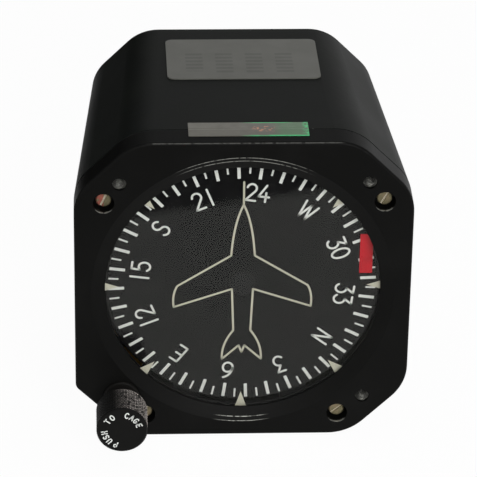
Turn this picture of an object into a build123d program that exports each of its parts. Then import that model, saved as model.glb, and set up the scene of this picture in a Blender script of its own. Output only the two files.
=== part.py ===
"""Directional gyro for a 3 1/8 inch panel cut-out, as an assembly of its separate pieces.

Millimetres. The origin is the middle of the bezel's front face, +X to the right, +Y away from
the reader into the panel and +Z up. The instrument stands on its bottom face.
"""
import os
from math import acos, atan2, cos, degrees, hypot, pi, radians, sin, tan

from build123d import *

# Bezel and case
bezel_size = 85.85            # 3.38 inch square flange
corner_cut = 14.85            # leg of each corner's 45 degree cut
corner_round = 13.0           # rounding at both ends of three of the cuts
keyed_corner_round = 2.5      # the knob's corner keeps sharper ends
bezel_thickness = 7.0
gasket_thickness = 0.5
gasket_inset = 0.15           # how far the gasket lies inside the outline
case_length = 76.0            # front face to rear face
case_draft = 4.0              # degrees, on the sides and the top, the bottom is level
case_wall = 2.2
rear_cover_thickness = 2.8
rear_cover_fit = 0.1

# Window in the bezel
lip_outer_radius = 38.7
lip_inner_radius = 37.6
lip_depth = 0.45
window_radius = 35.2
cone_depth = 1.5
window_land = 0.4
glass_radius = 37.2
glass_thickness = 1.6
glass_fit = 0.15
ring_inner_radius = 35.5
ring_thickness = 0.6

# Dial
card_radius = 34.7
card_gap = 0.75               # from the glass's retaining ring to the card
card_thickness = 1.0
hub_radius = 3.3
hub_cap_height = 0.35
hub_flange_radius = 8.0
hub_flange_thickness = 1.2
card_screw_circle = 6.0
card_screw_radius = 0.7
card_shaft_radius = 2.0
running_fit = 0.05            # radial, shaft in bush or bearing

# Front plate, carried on four posts behind the bezel
plate_gap = 1.0               # from the card's flange to the plate's boss
boss_height = 0.5             # how far the boss stands out in front of the plate
plate_thickness = 2.4
boss_length = 4.5
boss_radius = 7.0
plate_radius = 36.5
post_radius = 2.2
post_offset_x = 14.0
post_offset_z = 37.9
bearing_radius = 4.5
bearing_width = 1.6

# Mitre gears between the card and the outer gimbal
mitre_teeth = 56
mitre_module = 0.9
mitre_face = 4.0
mitre_backlash = 0.2
mitre_rim = 3.2
gear_web = 1.6
gear_hub_radius = 4.5

# Setting gears
spur_module = 0.7
setting_teeth = 48
idler_teeth = 36
pinion_teeth = 8
spur_width = 1.2
spur_backlash = 0.14
gear_gap = 0.4                # between neighbouring gears along a shaft
idler_stud_radius = 1.5

# Knob and its shaft
knob_x = -31.1
knob_z = -30.8
knob_radius = 6.6
knob_length = 10.0
knob_standoff = 6.5
knob_edge = 0.3
knurl_count = 44
knurl_depth = 0.28
knob_travel = 4.0
knob_shaft_radius = 1.5
bush_radius = 3.1
bush_flange_radius = 4.6
bush_flange_height = 1.0
bush_length = 8.3
collar_radius = 3.2
collar_length = 3.4
groove_width = 1.8
groove_radius = 2.3
collar_gap = 1.4              # from the pinion's driven place to the collar at rest
spring_radius = 2.4
spring_wire = 0.5
spring_length = 8.6
spring_turns = 6
setscrew_radius = 1.0

# Caging lever
lever_arm = 11.0              # pivot to the collar's groove
lever_thickness = 1.6
lever_pivot_radius = 1.0
lever_hub_radius = 2.2
lever_from_knob = 4.5         # from the knob's axis to the middle of the lever's blade
lever_pin_radius = 0.7
roller_radius = 1.5
roller_pin_radius = 0.8
roller_width = 4.0
roller_x = -17.0
caging_gap = 0.4              # roller to the caging disc when the knob is in

# Gimbals
ring_radius = 24.3            # outer gimbal, outside
ring_wall = 2.8
ring_width = 7.0
trunnion_radius = 2.0
caging_disc_radius = 20.0
caging_disc_thickness = 1.2
trunnion_step = 1.0
frame_arm_width = 16.0
frame_arm_thickness = 3.4
frame_gap = 1.0
housing_radius = 16.0
housing_length = 26.0
housing_wall = 1.6
housing_cover_thickness = 2.0
tilt_pivot_radius = 1.2
tilt_bearing_radius = 2.8
tilt_bearing_width = 2.0
rotor_gap = 0.7
rotor_rim = 4.2
rotor_length = 18.0
rotor_web = 2.6
rotor_shaft_radius = 1.5
rotor_bearing_radius = 3.6
rotor_bearing_width = 1.8
stator_gap = 0.4
slip_ring_radius = 3.6
slip_ring_count = 3
slip_ring_width = 1.0
slip_ring_pitch = 1.5

# Warning flag
flag_pivot_x = 36.3
flag_pivot_z = 18.3
flag_left = 29.9
flag_width = 3.3
flag_bottom = 3.0
flag_top = 14.3
flag_thickness = 0.2
flag_gap = 0.2                # from the retaining ring to the flag
flag_shaft_radius = 0.75
flag_boss_radius = 2.4
flag_ear_length = 6.0
pocket_margin = 0.6
coil_radius = 3.0
coil_length = 8.0
coil_drop = 10.0              # below the flag's pivot

# Openings and small margins of the plate, the arms, the gears and the brackets
plate_window_radius = 6.5
plate_window_circle = 21.0
arm_window_margin = 3.0
spur_rim = 2.5                # between a gear's web holes and its pitch circle
lever_bracket_wall = 1.6
spring_bracket_foot = 6.0     # how far the foot reaches forward along the arm

# Fasteners and fittings
mount_circle = 44.45          # radius of the panel's 3 1/2 inch screw circle
mount_hole_radius = 1.75      # 6-32 thread
insert_radius = 2.75
insert_land = 0.8             # the bezel's thin wall in front of each insert
bezel_screws_at = ((-35.4, 26.0), (35.4, 26.0), (25.0, -36.5), (-25.0, -36.5))
bezel_screw_radius = 1.25
bezel_screw_head = 2.0
bezel_screw_sink = 3.4
counterbore_radius = 2.7
lug_width = 5.0
lug_length = 7.0
screw_length = 9.5
cover_screw_x = 29.5
cover_screws_z = (24.0, -30.0)
cover_screw_radius = 1.25
cover_screw_head = 2.5
cover_screw_head_height = 1.6
cover_screw_length = 7.0
slot_width = 0.6
slot_depth = 0.7

# Rear connector
connector_flange = 24.0
connector_flange_thickness = 2.0
connector_radius = 9.0
connector_length = 12.0
connector_wall = 1.2
connector_hole_pitch = 18.0
connector_screw_radius = 1.0
connector_screw_head = 1.9
pin_count = 6
pin_circle = 4.4
pin_radius = 0.7
pin_length = 6.0
insert_face = 6.5             # from the flange's front to the insert's face

# Plates on the top
data_plate_width = 40.0
data_plate_length = 27.5
data_plate_x = 1.5
data_plate_front = 40.3
data_plate_thickness = 0.3
data_plate_round = 2.0
seal_left = -14.1
seal_right = 16.1
seal_front = 3.6
seal_rear = 11.4
seal_thickness = 0.15

# Places along the depth, worked out from the front
half = bezel_size / 2
slope = tan(radians(case_draft))
glass_front = cone_depth + window_land
glass_rear = glass_front + glass_thickness
ring_rear = glass_rear + ring_thickness
flag_front = ring_rear + flag_gap
card_front = ring_rear + card_gap
card_rear = card_front + card_thickness
flange_rear = card_rear + hub_flange_thickness
boss_front = flange_rear + plate_gap
plate_front = boss_front + boss_height
plate_rear = plate_front + plate_thickness
boss_rear = boss_front + boss_length
setting_front = boss_rear + gear_gap
setting_rear = setting_front + spur_width
mitre_radius = mitre_module * mitre_teeth / 2
mitre_addendum = 0.7 * mitre_module
mitre_dedendum = 0.95 * mitre_module
gasket_front = bezel_thickness
case_front = bezel_thickness + gasket_thickness
cover_front = case_length - rear_cover_thickness
setting_radius = spur_module * setting_teeth / 2
idler_radius = spur_module * idler_teeth / 2
pinion_radius = spur_module * pinion_teeth / 2
spur_addendum = 0.9 * spur_module
spur_dedendum = 1.15 * spur_module
mount_offset = mount_circle * cos(radians(45))
stack_top = mitre_radius + mitre_dedendum * cos(radians(45)) + gear_web
gimbal_y = setting_rear + gear_gap + stack_top
upper_arm_z = stack_top + frame_gap
caging_disc_top = -ring_radius - trunnion_step
caging_disc_foot = caging_disc_top - caging_disc_thickness
slip_ring_top = caging_disc_foot - frame_gap
lower_arm_z = slip_ring_top - slip_ring_pitch * slip_ring_count
lever_swing = degrees(knob_travel / lever_arm)
lever_x = knob_x + lever_from_knob


def cylinder_y(radius, y0, y1, x=0.0, z=0.0):
    """A round bar along the depth."""
    bar = Cylinder(radius, y1 - y0, align=(Align.CENTER, Align.CENTER, Align.MIN))
    return Pos(x, y0, z) * Rot(-90, 0, 0) * bar


def cylinder_z(radius, z0, z1, x=0.0, y=0.0):
    """A round bar standing up."""
    return Pos(x, y, z0) * Cylinder(radius, z1 - z0, align=(Align.CENTER, Align.CENTER, Align.MIN))


def cylinder_x(radius, x0, x1, y=0.0, z=0.0):
    """A round bar from side to side."""
    bar = Cylinder(radius, x1 - x0, align=(Align.CENTER, Align.CENTER, Align.MIN))
    return Pos(x0, y, z) * Rot(0, 90, 0) * bar


def block(x0, x1, y0, y1, z0, z1):
    """A box between two corners."""
    return Pos(x0, y0, z0) * Box(x1 - x0, y1 - y0, z1 - z0, align=(Align.MIN, Align.MIN, Align.MIN))


def upright(sketch, y):
    """A sketch drawn as (x, z), stood up at a depth."""
    return Pos(0, y, 0) * Rot(90, 0, 0) * sketch


def prism_y(sketch, y0, y1):
    """A sketch drawn as (x, z), stretched along the depth."""
    return Pos(0, y1, 0) * Rot(90, 0, 0) * extrude(sketch, amount=y1 - y0)


def turned_y(points, x=0.0, z=0.0):
    """A body turned about an axis along the depth, from (radius, y) points."""
    profile = make_face(Polyline(*[(radius, y) for radius, y in points], close=True))
    return Pos(x, 0, z) * revolve(profile, Axis.Y)


def turned_z(points, x=0.0, y=0.0):
    """A body turned about a standing axis, from (radius, z) points."""
    profile = Rot(90, 0, 0) * make_face(Polyline(*points, close=True))
    return Pos(x, y, 0) * revolve(profile, Axis.Z)


def outline(y, inset=0.0):
    """The instrument's outline at a depth, drawn as (x, z): a square with four cut corners."""
    depth = max(y - case_front, 0.0)
    side = half - depth * slope - inset
    top = half - depth * slope - inset
    bottom = -half + inset
    share = (half - depth * slope) / half
    leg = corner_cut * share - inset * (2 - 2 ** 0.5)
    body = Pos(0, (top + bottom) / 2) * Rectangle(2 * side, top - bottom)
    corners = body.vertices()
    body = chamfer(corners, leg)
    keyed = [v for v in body.vertices() if v.X < 0 and v.Y < 0]
    others = [v for v in body.vertices() if v.X > 0 or v.Y > 0]
    body = fillet(others, max(corner_round * share - inset, 0.5))
    keyed = [v for v in body.vertices() if min(hypot(v.X - k.X, v.Y - k.Y) for k in keyed) < 0.01]
    return fillet(keyed, max(keyed_corner_round * share - inset, 0.5))


def case_body(y0, y1, inset=0.0):
    """A solid stretch of the drafted case, or of its hollow."""
    return loft([upright(outline(y0, inset), y0), upright(outline(y1, inset), y1)], ruled=True)


def slotted_screw(radius, head_radius, head_height, length, slot_angle=0.0):
    """A pan head screw. Its head's seat is at y = 0 and its shank runs to y = length."""
    head = cylinder_y(head_radius, -head_height, 0)
    head = fillet(head.faces().sort_by(Axis.Y)[0].edges(), 0.3 * head_height)
    slot = Box(2.2 * head_radius, 2 * slot_depth, slot_width)
    slot = Pos(0, -head_height, 0) * Rot(0, -slot_angle, 0) * slot
    return head - slot + cylinder_y(radius, 0, length)


def bearing(outer, bore, width):
    """A shielded ball bearing on the Z axis, from z = 0 to its width."""
    race = 0.22 * (outer - bore)
    sink = 0.12 * width
    points = [(bore, 0), (bore + race, 0), (bore + race, sink), (outer - race, sink), (outer - race, 0),
              (outer, 0), (outer, width), (outer - race, width), (outer - race, width - sink),
              (bore + race, width - sink), (bore + race, width), (bore, width)]
    return turned_z(points)


def spur_gear(teeth, bore, y0, y1, x, z, phase=0.0, web_radius=None):
    """A straight gear along the depth. The phase turns its first tooth from +X, in degrees."""
    pitch_radius = spur_module * teeth / 2
    root = pitch_radius - spur_dedendum
    tip = pitch_radius + spur_addendum
    pressure = radians(20)
    tooth_half = pi / (2 * teeth) - spur_backlash / (2 * pitch_radius)
    points = []
    for radius in (root, pitch_radius, tip):
        base = pitch_radius * cos(pressure)
        roll = acos(min(1.0, base / max(radius, base)))
        spread = (tan(pressure) - pressure) - (tan(roll) - roll)
        points.append((radius, tooth_half + spread))
    flank = []
    for index in range(teeth):
        middle = 2 * pi * index / teeth + radians(phase)
        for radius, angle in points:
            flank.append((radius * cos(middle - angle), radius * sin(middle - angle)))
        for radius, angle in reversed(points):
            flank.append((radius * cos(middle + angle), radius * sin(middle + angle)))
    face = make_face(Polyline(*flank, close=True)) - Circle(bore)
    if web_radius:
        holes = PolarLocations((web_radius + bore) / 2 + 1.0, 5) * Circle((web_radius - bore) / 3.2)
        face = face - holes
    return Pos(x, 0, z) * prism_y(face, y0, y1)


def mitre_gear(phase):
    """A 45 degree bevel gear on the Z axis. Its pitch cone's tip is at the origin, below the gear."""
    cone = mitre_radius * 2 ** 0.5
    scale = (cone - mitre_face) / cone
    across = 2 ** 0.5 / 2

    def at(along, out, side):
        """A point of the outer tooth end: along the cone, out from it and to one side."""
        radius = (mitre_radius + out * across) * along
        height = (mitre_radius - out * across) * along
        return (radius, side * along, height)

    def tooth_end(along):
        top = (pi * mitre_module / 2 - mitre_backlash) / 2 - mitre_addendum * tan(radians(20))
        foot = (pi * mitre_module / 2 - mitre_backlash) / 2 + mitre_dedendum * tan(radians(20))
        corners = [(-mitre_dedendum - 0.15, -foot), (-mitre_dedendum - 0.15, foot),
                   (mitre_addendum, top), (mitre_addendum, -top)]
        return Polyline(*[at(along, out, side) for out, side in corners], close=True)

    tooth = loft([make_face(tooth_end(1.0)), make_face(tooth_end(scale))], ruled=True)
    drop = mitre_dedendum * across
    outer = (mitre_radius - drop, mitre_radius + drop)
    inner = (outer[0] * scale, outer[1] * scale)
    rim_inner = inner[0] - mitre_rim
    top = outer[1] + gear_web
    rim = turned_z([inner, outer, (outer[0], top), (rim_inner, top), (rim_inner, top - gear_web)])
    gear = rim + [Rot(0, 0, phase + 360 * n / mitre_teeth) * tooth for n in range(mitre_teeth)]
    web = cylinder_z(rim_inner + 0.5, top - gear_web, top)
    middle = (rim_inner + gear_hub_radius) / 2
    hole = min((rim_inner - gear_hub_radius) / 2, middle / 2) - 1.2
    opening = cylinder_z(hole, top - 2 * gear_web, top + 1, middle)
    return gear + (web - [Rot(0, 0, 60 * n) * opening for n in range(6)])


def make_bezel():
    body = prism_y(outline(0), 0, bezel_thickness)
    front_edges = body.faces().sort_by(Axis.Y)[0].edges()
    body = fillet(front_edges, 0.7)
    bore = glass_radius + glass_fit
    body -= turned_y([(0, -1), (lip_outer_radius + lip_depth, -1), (lip_outer_radius, 0),
                      (lip_inner_radius, lip_depth), (window_radius, cone_depth),
                      (window_radius, glass_front), (bore, glass_front), (bore, bezel_thickness + 1),
                      (0, bezel_thickness + 1)])
    reach = hypot(flag_pivot_x - flag_left, flag_pivot_z - flag_bottom)
    body -= block(flag_left - pocket_margin, half - case_wall - pocket_margin, ring_rear,
                  bezel_thickness + 1, flag_pivot_z - reach - pocket_margin,
                  flag_pivot_z + flag_boss_radius + pocket_margin)
    for x, z in bezel_screws_at:
        body -= cylinder_y(counterbore_radius, -1, bezel_screw_sink, x, z)
        body -= cylinder_y(bezel_screw_radius + running_fit, 0, bezel_thickness + 1, x, z)
    for x, z in mounting_places():
        body -= cylinder_y(mount_hole_radius, -1, bezel_thickness, x, z)
        body -= cylinder_y(insert_radius, insert_land, bezel_thickness + 1, x, z)
    body -= cylinder_y(bush_radius, -1, bezel_thickness + 1, knob_x, knob_z)
    return body


def mounting_places():
    """The three threaded holes. The knob takes the fourth corner."""
    return [(-mount_offset, mount_offset), (mount_offset, mount_offset), (mount_offset, -mount_offset)]


def make_mounting_inserts():
    """Sleeves pressed in from behind, up to the bezel's thin front wall."""
    inserts = []
    for x, z in mounting_places():
        sleeve = cylinder_y(insert_radius, insert_land, bezel_thickness, x, z)
        inserts.append(sleeve - cylinder_y(mount_hole_radius, 0, bezel_thickness + 1, x, z))
    return Compound(children=inserts)


def make_window_glass():
    glass = cylinder_y(glass_radius, glass_front, glass_rear)
    return chamfer(glass.edges().filter_by(GeomType.CIRCLE), 0.2)


def make_retaining_ring():
    ring = cylinder_y(glass_radius + glass_fit - 0.02, glass_rear, ring_rear)
    ring -= cylinder_y(ring_inner_radius, glass_rear - 1, ring_rear + 1)
    notch = block(-1.2, 1.2, glass_rear + ring_thickness / 3, ring_rear + 1,
                  glass_radius - 1.0, glass_radius + 1)
    return ring - [Rot(0, 90 * n + 45, 0) * notch for n in range(4)]


def make_case_gasket():
    ring = prism_y(outline(0, gasket_inset), gasket_front, case_front)
    ring -= prism_y(outline(0, case_wall), gasket_front - 1, case_front + 1)
    for x, z in bezel_screws_at:
        ring -= cylinder_y(bezel_screw_radius + running_fit, gasket_front - 1, case_front + 1, x, z)
    return ring


def lug_at(x, z, width, y0, y1):
    """A lug that joins a screw's place to the nearest wall."""
    if abs(x) > abs(z):
        far = half if x > 0 else -half
        return block(min(x - width / 2, far), max(x + width / 2, far), y0, y1, z - width / 2, z + width / 2)
    far = half if z > 0 else -half
    return block(x - width / 2, x + width / 2, y0, y1, min(z - width / 2, far), max(z + width / 2, far))


def make_case_shell():
    outer = case_body(case_front, case_length)
    hollow = case_body(case_front, case_length, case_wall)
    shell = outer - hollow
    lugs = [lug_at(x, z, lug_width, case_front, case_front + lug_length) for x, z in bezel_screws_at]
    corner = half - case_wall
    for z in cover_screws_z:
        for side in (-1, 1):
            x0, x1 = sorted((side * (cover_screw_x - lug_width / 2), side * corner))
            lugs.append(block(x0, x1, cover_front - lug_length, cover_front,
                              z - lug_width / 2, z + lug_width / 2))
    shell += [lug & outer for lug in lugs]
    for x, z in bezel_screws_at:
        shell -= cylinder_y(bezel_screw_radius, case_front - 1, case_front + lug_length - 1, x, z)
    for z in cover_screws_z:
        for x in (-cover_screw_x, cover_screw_x):
            shell -= cylinder_y(cover_screw_radius, case_length - cover_screw_length, cover_front + 1, x, z)
    return shell


def make_rear_cover():
    inset = case_wall + rear_cover_fit
    cover = case_body(cover_front, case_length, inset)
    for z in cover_screws_z:
        for x in (-cover_screw_x, cover_screw_x):
            cover -= cylinder_y(cover_screw_radius + running_fit, cover_front - 1, case_length + 1, x, z)
    cover -= cylinder_y(connector_radius - connector_wall, cover_front - 1, case_length + 1)
    for x, z in connector_screw_places():
        cover -= cylinder_y(connector_screw_radius, cover_front - 1, case_length + 1, x, z)
    return cover


def make_bezel_screws():
    angles = (65, 60, 40, 55)
    seat = bezel_screw_sink
    screws = []
    for (x, z), angle in zip(bezel_screws_at, angles):
        screw = slotted_screw(bezel_screw_radius, bezel_screw_head, 1.4, screw_length - seat, angle)
        screws.append(Pos(x, seat, z) * screw)
    return Compound(children=screws)


def make_rear_cover_screws():
    length = cover_screw_length - 1
    screw = slotted_screw(cover_screw_radius, cover_screw_head, cover_screw_head_height, length)
    screws = []
    for index, z in enumerate(cover_screws_z):
        for side in (-1, 1):
            turn = 25 + 50 * index + 20 * side
            screws.append(Pos(side * cover_screw_x, case_length, z) * Rot(0, turn, 180) * screw)
    return Compound(children=screws)


def connector_screw_places():
    pitch = connector_hole_pitch / 2
    return [(x, z) for x in (-pitch, pitch) for z in (-pitch, pitch)]


def make_connector_shell():
    flange = fillet(Rectangle(connector_flange, connector_flange).vertices(), 2.5)
    shell = prism_y(flange, case_length, case_length + connector_flange_thickness)
    shell += cylinder_y(connector_radius, case_length, case_length + connector_length)
    for turn in range(3):
        bump = cylinder_y(1.0, case_length + connector_length - 3.2, case_length + connector_length - 1.2)
        shell += Rot(0, 120 * turn, 0) * Pos(0, 0, connector_radius) * bump
    inner = connector_radius - connector_wall
    shell -= cylinder_y(inner, case_length - 1, case_length + connector_length + 1)
    for x, z in connector_screw_places():
        shell -= cylinder_y(connector_screw_radius + running_fit, case_length - 1, case_length + 5, x, z)
    key = block(-1.0, 1.0, case_length + insert_face, case_length + connector_length - 1,
                inner - 0.8, inner + 0.2)
    return shell + key


def pin_places():
    """The ring of contact pins."""
    turns = [2 * pi * n / pin_count for n in range(pin_count)]
    return [(pin_circle * cos(turn), pin_circle * sin(turn)) for turn in turns]


def make_connector_insert():
    inner = connector_radius - connector_wall
    insert = cylinder_y(inner, cover_front, case_length + insert_face)
    for x, z in pin_places():
        insert -= cylinder_y(pin_radius, cover_front - 1, case_length + insert_face + 1, x, z)
    return insert


def make_connector_pins():
    pins = []
    for x, z in pin_places():
        pin = cylinder_y(pin_radius, cover_front - 2.5, case_length + insert_face + pin_length - 2, x, z)
        pins.append(fillet(pin.edges().sort_by(Axis.Y)[-1], 0.6 * pin_radius))
    return Compound(children=pins)


def make_connector_screws():
    length = rear_cover_thickness + connector_flange_thickness
    screw = slotted_screw(connector_screw_radius, connector_screw_head, 1.2, length)
    seat = case_length + connector_flange_thickness
    return Compound(children=[Pos(x, seat, z) * Rot(0, 20 + 7 * x, 180) * screw
                              for x, z in connector_screw_places()])


def top_at(y):
    """Height of the case's top at a depth."""
    return half - max(y - case_front, 0.0) * slope


def make_data_plate():
    plate = fillet(Rectangle(data_plate_width, data_plate_length).vertices(), data_plate_round)
    plate = extrude(plate, amount=data_plate_thickness)
    middle = data_plate_front + data_plate_length / 2
    return Pos(data_plate_x, middle, top_at(middle)) * Rot(-case_draft, 0, 0) * plate


def make_tamper_seal():
    points = [(y, top_at(y)) for y in (seal_front, case_front, seal_rear)]
    profile = points + [(y, z + seal_thickness) for y, z in reversed(points)]
    face = Plane.YZ * make_face(Polyline(*profile, close=True))
    return Pos(seal_left, 0, 0) * extrude(face, amount=seal_right - seal_left, dir=(1, 0, 0))


def post_places():
    return [(x, z) for x in (-post_offset_x, post_offset_x) for z in (-post_offset_z, post_offset_z)]


def idler_place():
    """The idler's centre, from its distances to the card's axis and to the knob's."""
    to_card = setting_radius + idler_radius
    to_knob = idler_radius + pinion_radius
    span = hypot(knob_x, knob_z)
    swing = acos((to_card ** 2 + span ** 2 - to_knob ** 2) / (2 * to_card * span))
    heading = atan2(knob_z, knob_x) - swing
    return to_card * cos(heading), to_card * sin(heading)


def make_front_plate():
    plate = cylinder_y(plate_radius, plate_front, plate_rear)
    ears = [cylinder_y(post_radius + 1.2, plate_front, plate_rear, x, z) for x, z in post_places()]
    ears += [block(x - post_radius - 1.2, x + post_radius + 1.2, plate_front, plate_rear,
                   min(0.8 * z, z), max(0.8 * z, z)) for x, z in post_places()]
    flag_ear = cylinder_y(flag_boss_radius, plate_front, plate_rear, flag_pivot_x, flag_pivot_z)
    flag_ear += block(flag_pivot_x - flag_ear_length, flag_pivot_x, plate_front, plate_rear,
                      flag_pivot_z - flag_boss_radius, flag_pivot_z + flag_boss_radius)
    reach = half - case_wall - 1.6
    keep = block(-reach, reach, plate_front, plate_rear, -half, half)
    inside = case_body(case_front, plate_rear + 5, case_wall + 0.5)
    plate = (plate + ears + flag_ear) & keep & inside
    plate += cylinder_y(boss_radius, boss_front, boss_rear)
    plate -= cylinder_y(bearing_radius, boss_front - 1, boss_rear + 1)
    for x, z in post_places():
        plate -= cylinder_y(bezel_screw_radius + running_fit, plate_front - 1, plate_rear + 1, x, z)
    plate -= cylinder_y(flag_shaft_radius + running_fit, plate_front - 1, plate_rear + 1,
                        flag_pivot_x, flag_pivot_z)
    idler_x, idler_z = idler_place()
    plate -= cylinder_y(idler_stud_radius, plate_front - 1, plate_rear + 1, idler_x, idler_z)
    window = cylinder_y(plate_window_radius, plate_front - 1, plate_rear + 1, plate_window_circle)
    plate -= [Rot(0, 60 * n + 30, 0) * window for n in (0, 1, 3, 4, 5)]
    pinion_clear = pinion_radius + spur_addendum + 0.8
    return plate - cylinder_y(pinion_clear, plate_front - 1, plate_rear + 1, knob_x, knob_z)


def make_plate_posts():
    posts = []
    for x, z in post_places():
        post = cylinder_y(post_radius, bezel_thickness, plate_front, x, z)
        posts.append(post - cylinder_y(bezel_screw_radius, bezel_thickness - 1, plate_front + 1, x, z))
    return Compound(children=posts)


def make_plate_screws():
    length = plate_thickness + (plate_front - bezel_thickness) - 0.4
    screw = slotted_screw(bezel_screw_radius - 0.02, bezel_screw_head, 1.2, length)
    return Compound(children=[Pos(x, plate_rear, z) * Rot(0, 3 * x, 180) * screw for x, z in post_places()])


def make_card_bearings():
    race = Rot(90, 0, 0) * bearing(bearing_radius, card_shaft_radius + running_fit, bearing_width)
    front = Pos(0, boss_front + bearing_width, 0) * race
    rear = Pos(0, boss_rear, 0) * race
    return Compound(children=[front, rear])


def arm(z0, z1):
    """One arm of the gimbal frame, from the front plate to the gimbal's pivot."""
    bearing_seat = gimbal_y + bearing_radius + 2.0
    strap = block(-frame_arm_width / 2, frame_arm_width / 2, plate_rear, gimbal_y, z0, z1)
    strap += cylinder_z(frame_arm_width / 2, z0, z1, 0, gimbal_y)
    strap &= block(-half, half, plate_rear, bearing_seat, -half, half)
    strap -= cylinder_z(bearing_radius, z0 - 1, z1 + 1, 0, gimbal_y)
    reach = frame_arm_width / 2 - arm_window_margin
    return strap - block(-reach, reach, plate_rear + 4, gimbal_y - bearing_radius - 4, z0 - 1, z1 + 1)


def make_upper_frame_arm():
    return arm(upper_arm_z, upper_arm_z + frame_arm_thickness)


def make_lower_frame_arm():
    return arm(lower_arm_z - frame_arm_thickness, lower_arm_z)


def make_gimbal_bearings():
    race = bearing(bearing_radius, trunnion_radius + running_fit, bearing_width)
    top = Pos(0, gimbal_y, upper_arm_z + 0.5) * race
    foot = Pos(0, gimbal_y, lower_arm_z - 0.5 - bearing_width) * race
    return Compound(children=[top, foot])


def slip_ring_heights():
    """The lower face of each slip ring on the outer gimbal's lower trunnion."""
    return [slip_ring_top - slip_ring_pitch * n - slip_ring_width for n in range(slip_ring_count)]


def make_brush_block():
    """The block that stands on the lower arm and holds a brush against each slip ring."""
    y0 = gimbal_y - bearing_radius - 3.8
    y1 = y0 + 2.6
    body = block(-3.5, 3.5, y0, y1, lower_arm_z, slip_ring_top + 0.4)
    brushes = [block(-2.5 + 2 * n, -1.9 + 2 * n, y1, gimbal_y, z + 0.3, z + 0.7)
               for n, z in enumerate(slip_ring_heights())]
    clear = cylinder_z(slip_ring_radius + 0.1, lower_arm_z, slip_ring_top + 1, 0, gimbal_y)
    return body + [brush - clear for brush in brushes]


def make_heading_card():
    card = cylinder_y(card_radius, card_front, card_rear)
    card -= cylinder_y(hub_radius, card_front - 1, card_rear + 1)
    hole = cylinder_y(card_screw_radius, card_rear - 0.7, card_rear + 1, 0, card_screw_circle)
    for n in range(3):
        card -= Rot(0, 120 * n, 0) * hole
    return card


def make_card_hub():
    hub = cylinder_y(hub_radius, card_front - hub_cap_height, card_rear)
    hub = chamfer(hub.edges().sort_by(Axis.Y)[0], 0.2)
    hub += cylinder_y(hub_flange_radius, card_rear, flange_rear)
    hub -= cylinder_y(card_shaft_radius, card_front + 0.3, flange_rear + 1)
    hole = cylinder_y(card_screw_radius, card_rear - 1, flange_rear + 1, 0, card_screw_circle)
    for n in range(3):
        hub -= Rot(0, 120 * n, 0) * hole
    return hub


def make_card_screws():
    """Three small screws, put in from behind so that the card's face stays plain."""
    screw = Rot(0, 0, 180) * slotted_screw(card_screw_radius, 1.3, 0.5, hub_flange_thickness + 0.6)
    screw = Pos(0, flange_rear, card_screw_circle) * screw
    return Compound(children=[Rot(0, 120 * n, 0) * screw for n in range(3)])


def make_card_shaft():
    shaft = cylinder_y(card_shaft_radius, card_front + 0.3, setting_rear + 2.4)
    return chamfer(shaft.edges().sort_by(Axis.Y)[-1], 0.3)


def make_setting_gear():
    gear = spur_gear(setting_teeth, card_shaft_radius, setting_front, setting_rear, 0, 0,
                     web_radius=setting_radius - spur_rim)
    hub = cylinder_y(card_shaft_radius + 2, setting_front, setting_rear)
    return gear + (hub - cylinder_y(card_shaft_radius, setting_front - 1, setting_rear + 1))


def mesh_phase(teeth, phase, mate_teeth, x, z, mate_x, mate_z):
    """Turns a mating gear so that its teeth lie in the first gear's gaps."""
    line = degrees(atan2(mate_z - z, mate_x - x))
    teeth_along = (line - phase) * teeth / 360
    return line + 180 - (0.5 - teeth_along) * 360 / mate_teeth


def idler_phase():
    x, z = idler_place()
    return mesh_phase(setting_teeth, 0.0, idler_teeth, 0, 0, x, z)


def pinion_phase():
    x, z = idler_place()
    return mesh_phase(idler_teeth, idler_phase(), pinion_teeth, x, z, knob_x, knob_z)


def make_idler_gear():
    x, z = idler_place()
    return spur_gear(idler_teeth, idler_stud_radius + running_fit, setting_front, setting_rear, x, z,
                     idler_phase(), idler_radius - spur_rim)


def make_idler_stud():
    x, z = idler_place()
    stud = cylinder_y(idler_stud_radius, plate_front, setting_rear + 1.2, x, z)
    stud += cylinder_y(idler_stud_radius + 1.4, plate_rear, setting_front - 0.2, x, z)
    return stud + cylinder_y(idler_stud_radius + 0.9, setting_rear + 0.2, setting_rear + 0.8, x, z)


def make_card_bevel_gear():
    """The card's mitre gear faces the gimbal, with its tip at the gimbal's middle."""
    gear = mitre_gear(0.0)
    gear = Pos(0, gimbal_y, 0) * Rot(90, 0, 0) * gear
    front = gimbal_y - stack_top
    hub = cylinder_y(gear_hub_radius + 1, front, front + gear_web)
    return gear + hub - cylinder_y(card_shaft_radius, front - 1, front + gear_web + 4)


def make_gimbal_bevel_gear():
    gear = Pos(0, gimbal_y, 0) * mitre_gear(90 + 180 / mitre_teeth)
    hub = cylinder_z(gear_hub_radius + 1, stack_top - gear_web, stack_top, 0, gimbal_y)
    return gear + hub - cylinder_z(trunnion_radius, 0, stack_top + 1, 0, gimbal_y)


def make_gimbal_ring():
    inner = ring_radius - ring_wall
    ring = cylinder_y(ring_radius, gimbal_y - ring_width / 2, gimbal_y + ring_width / 2)
    ring -= cylinder_y(inner, gimbal_y - ring_width, gimbal_y + ring_width)
    ring = chamfer(ring.edges().filter_by(GeomType.CIRCLE), 0.5)
    for side in (-1, 1):
        x0, x1 = sorted((side * (inner - 1), side * (ring_radius + 1)))
        ring -= cylinder_x(tilt_bearing_radius, x0, x1, gimbal_y, 0)
    return ring


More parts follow.
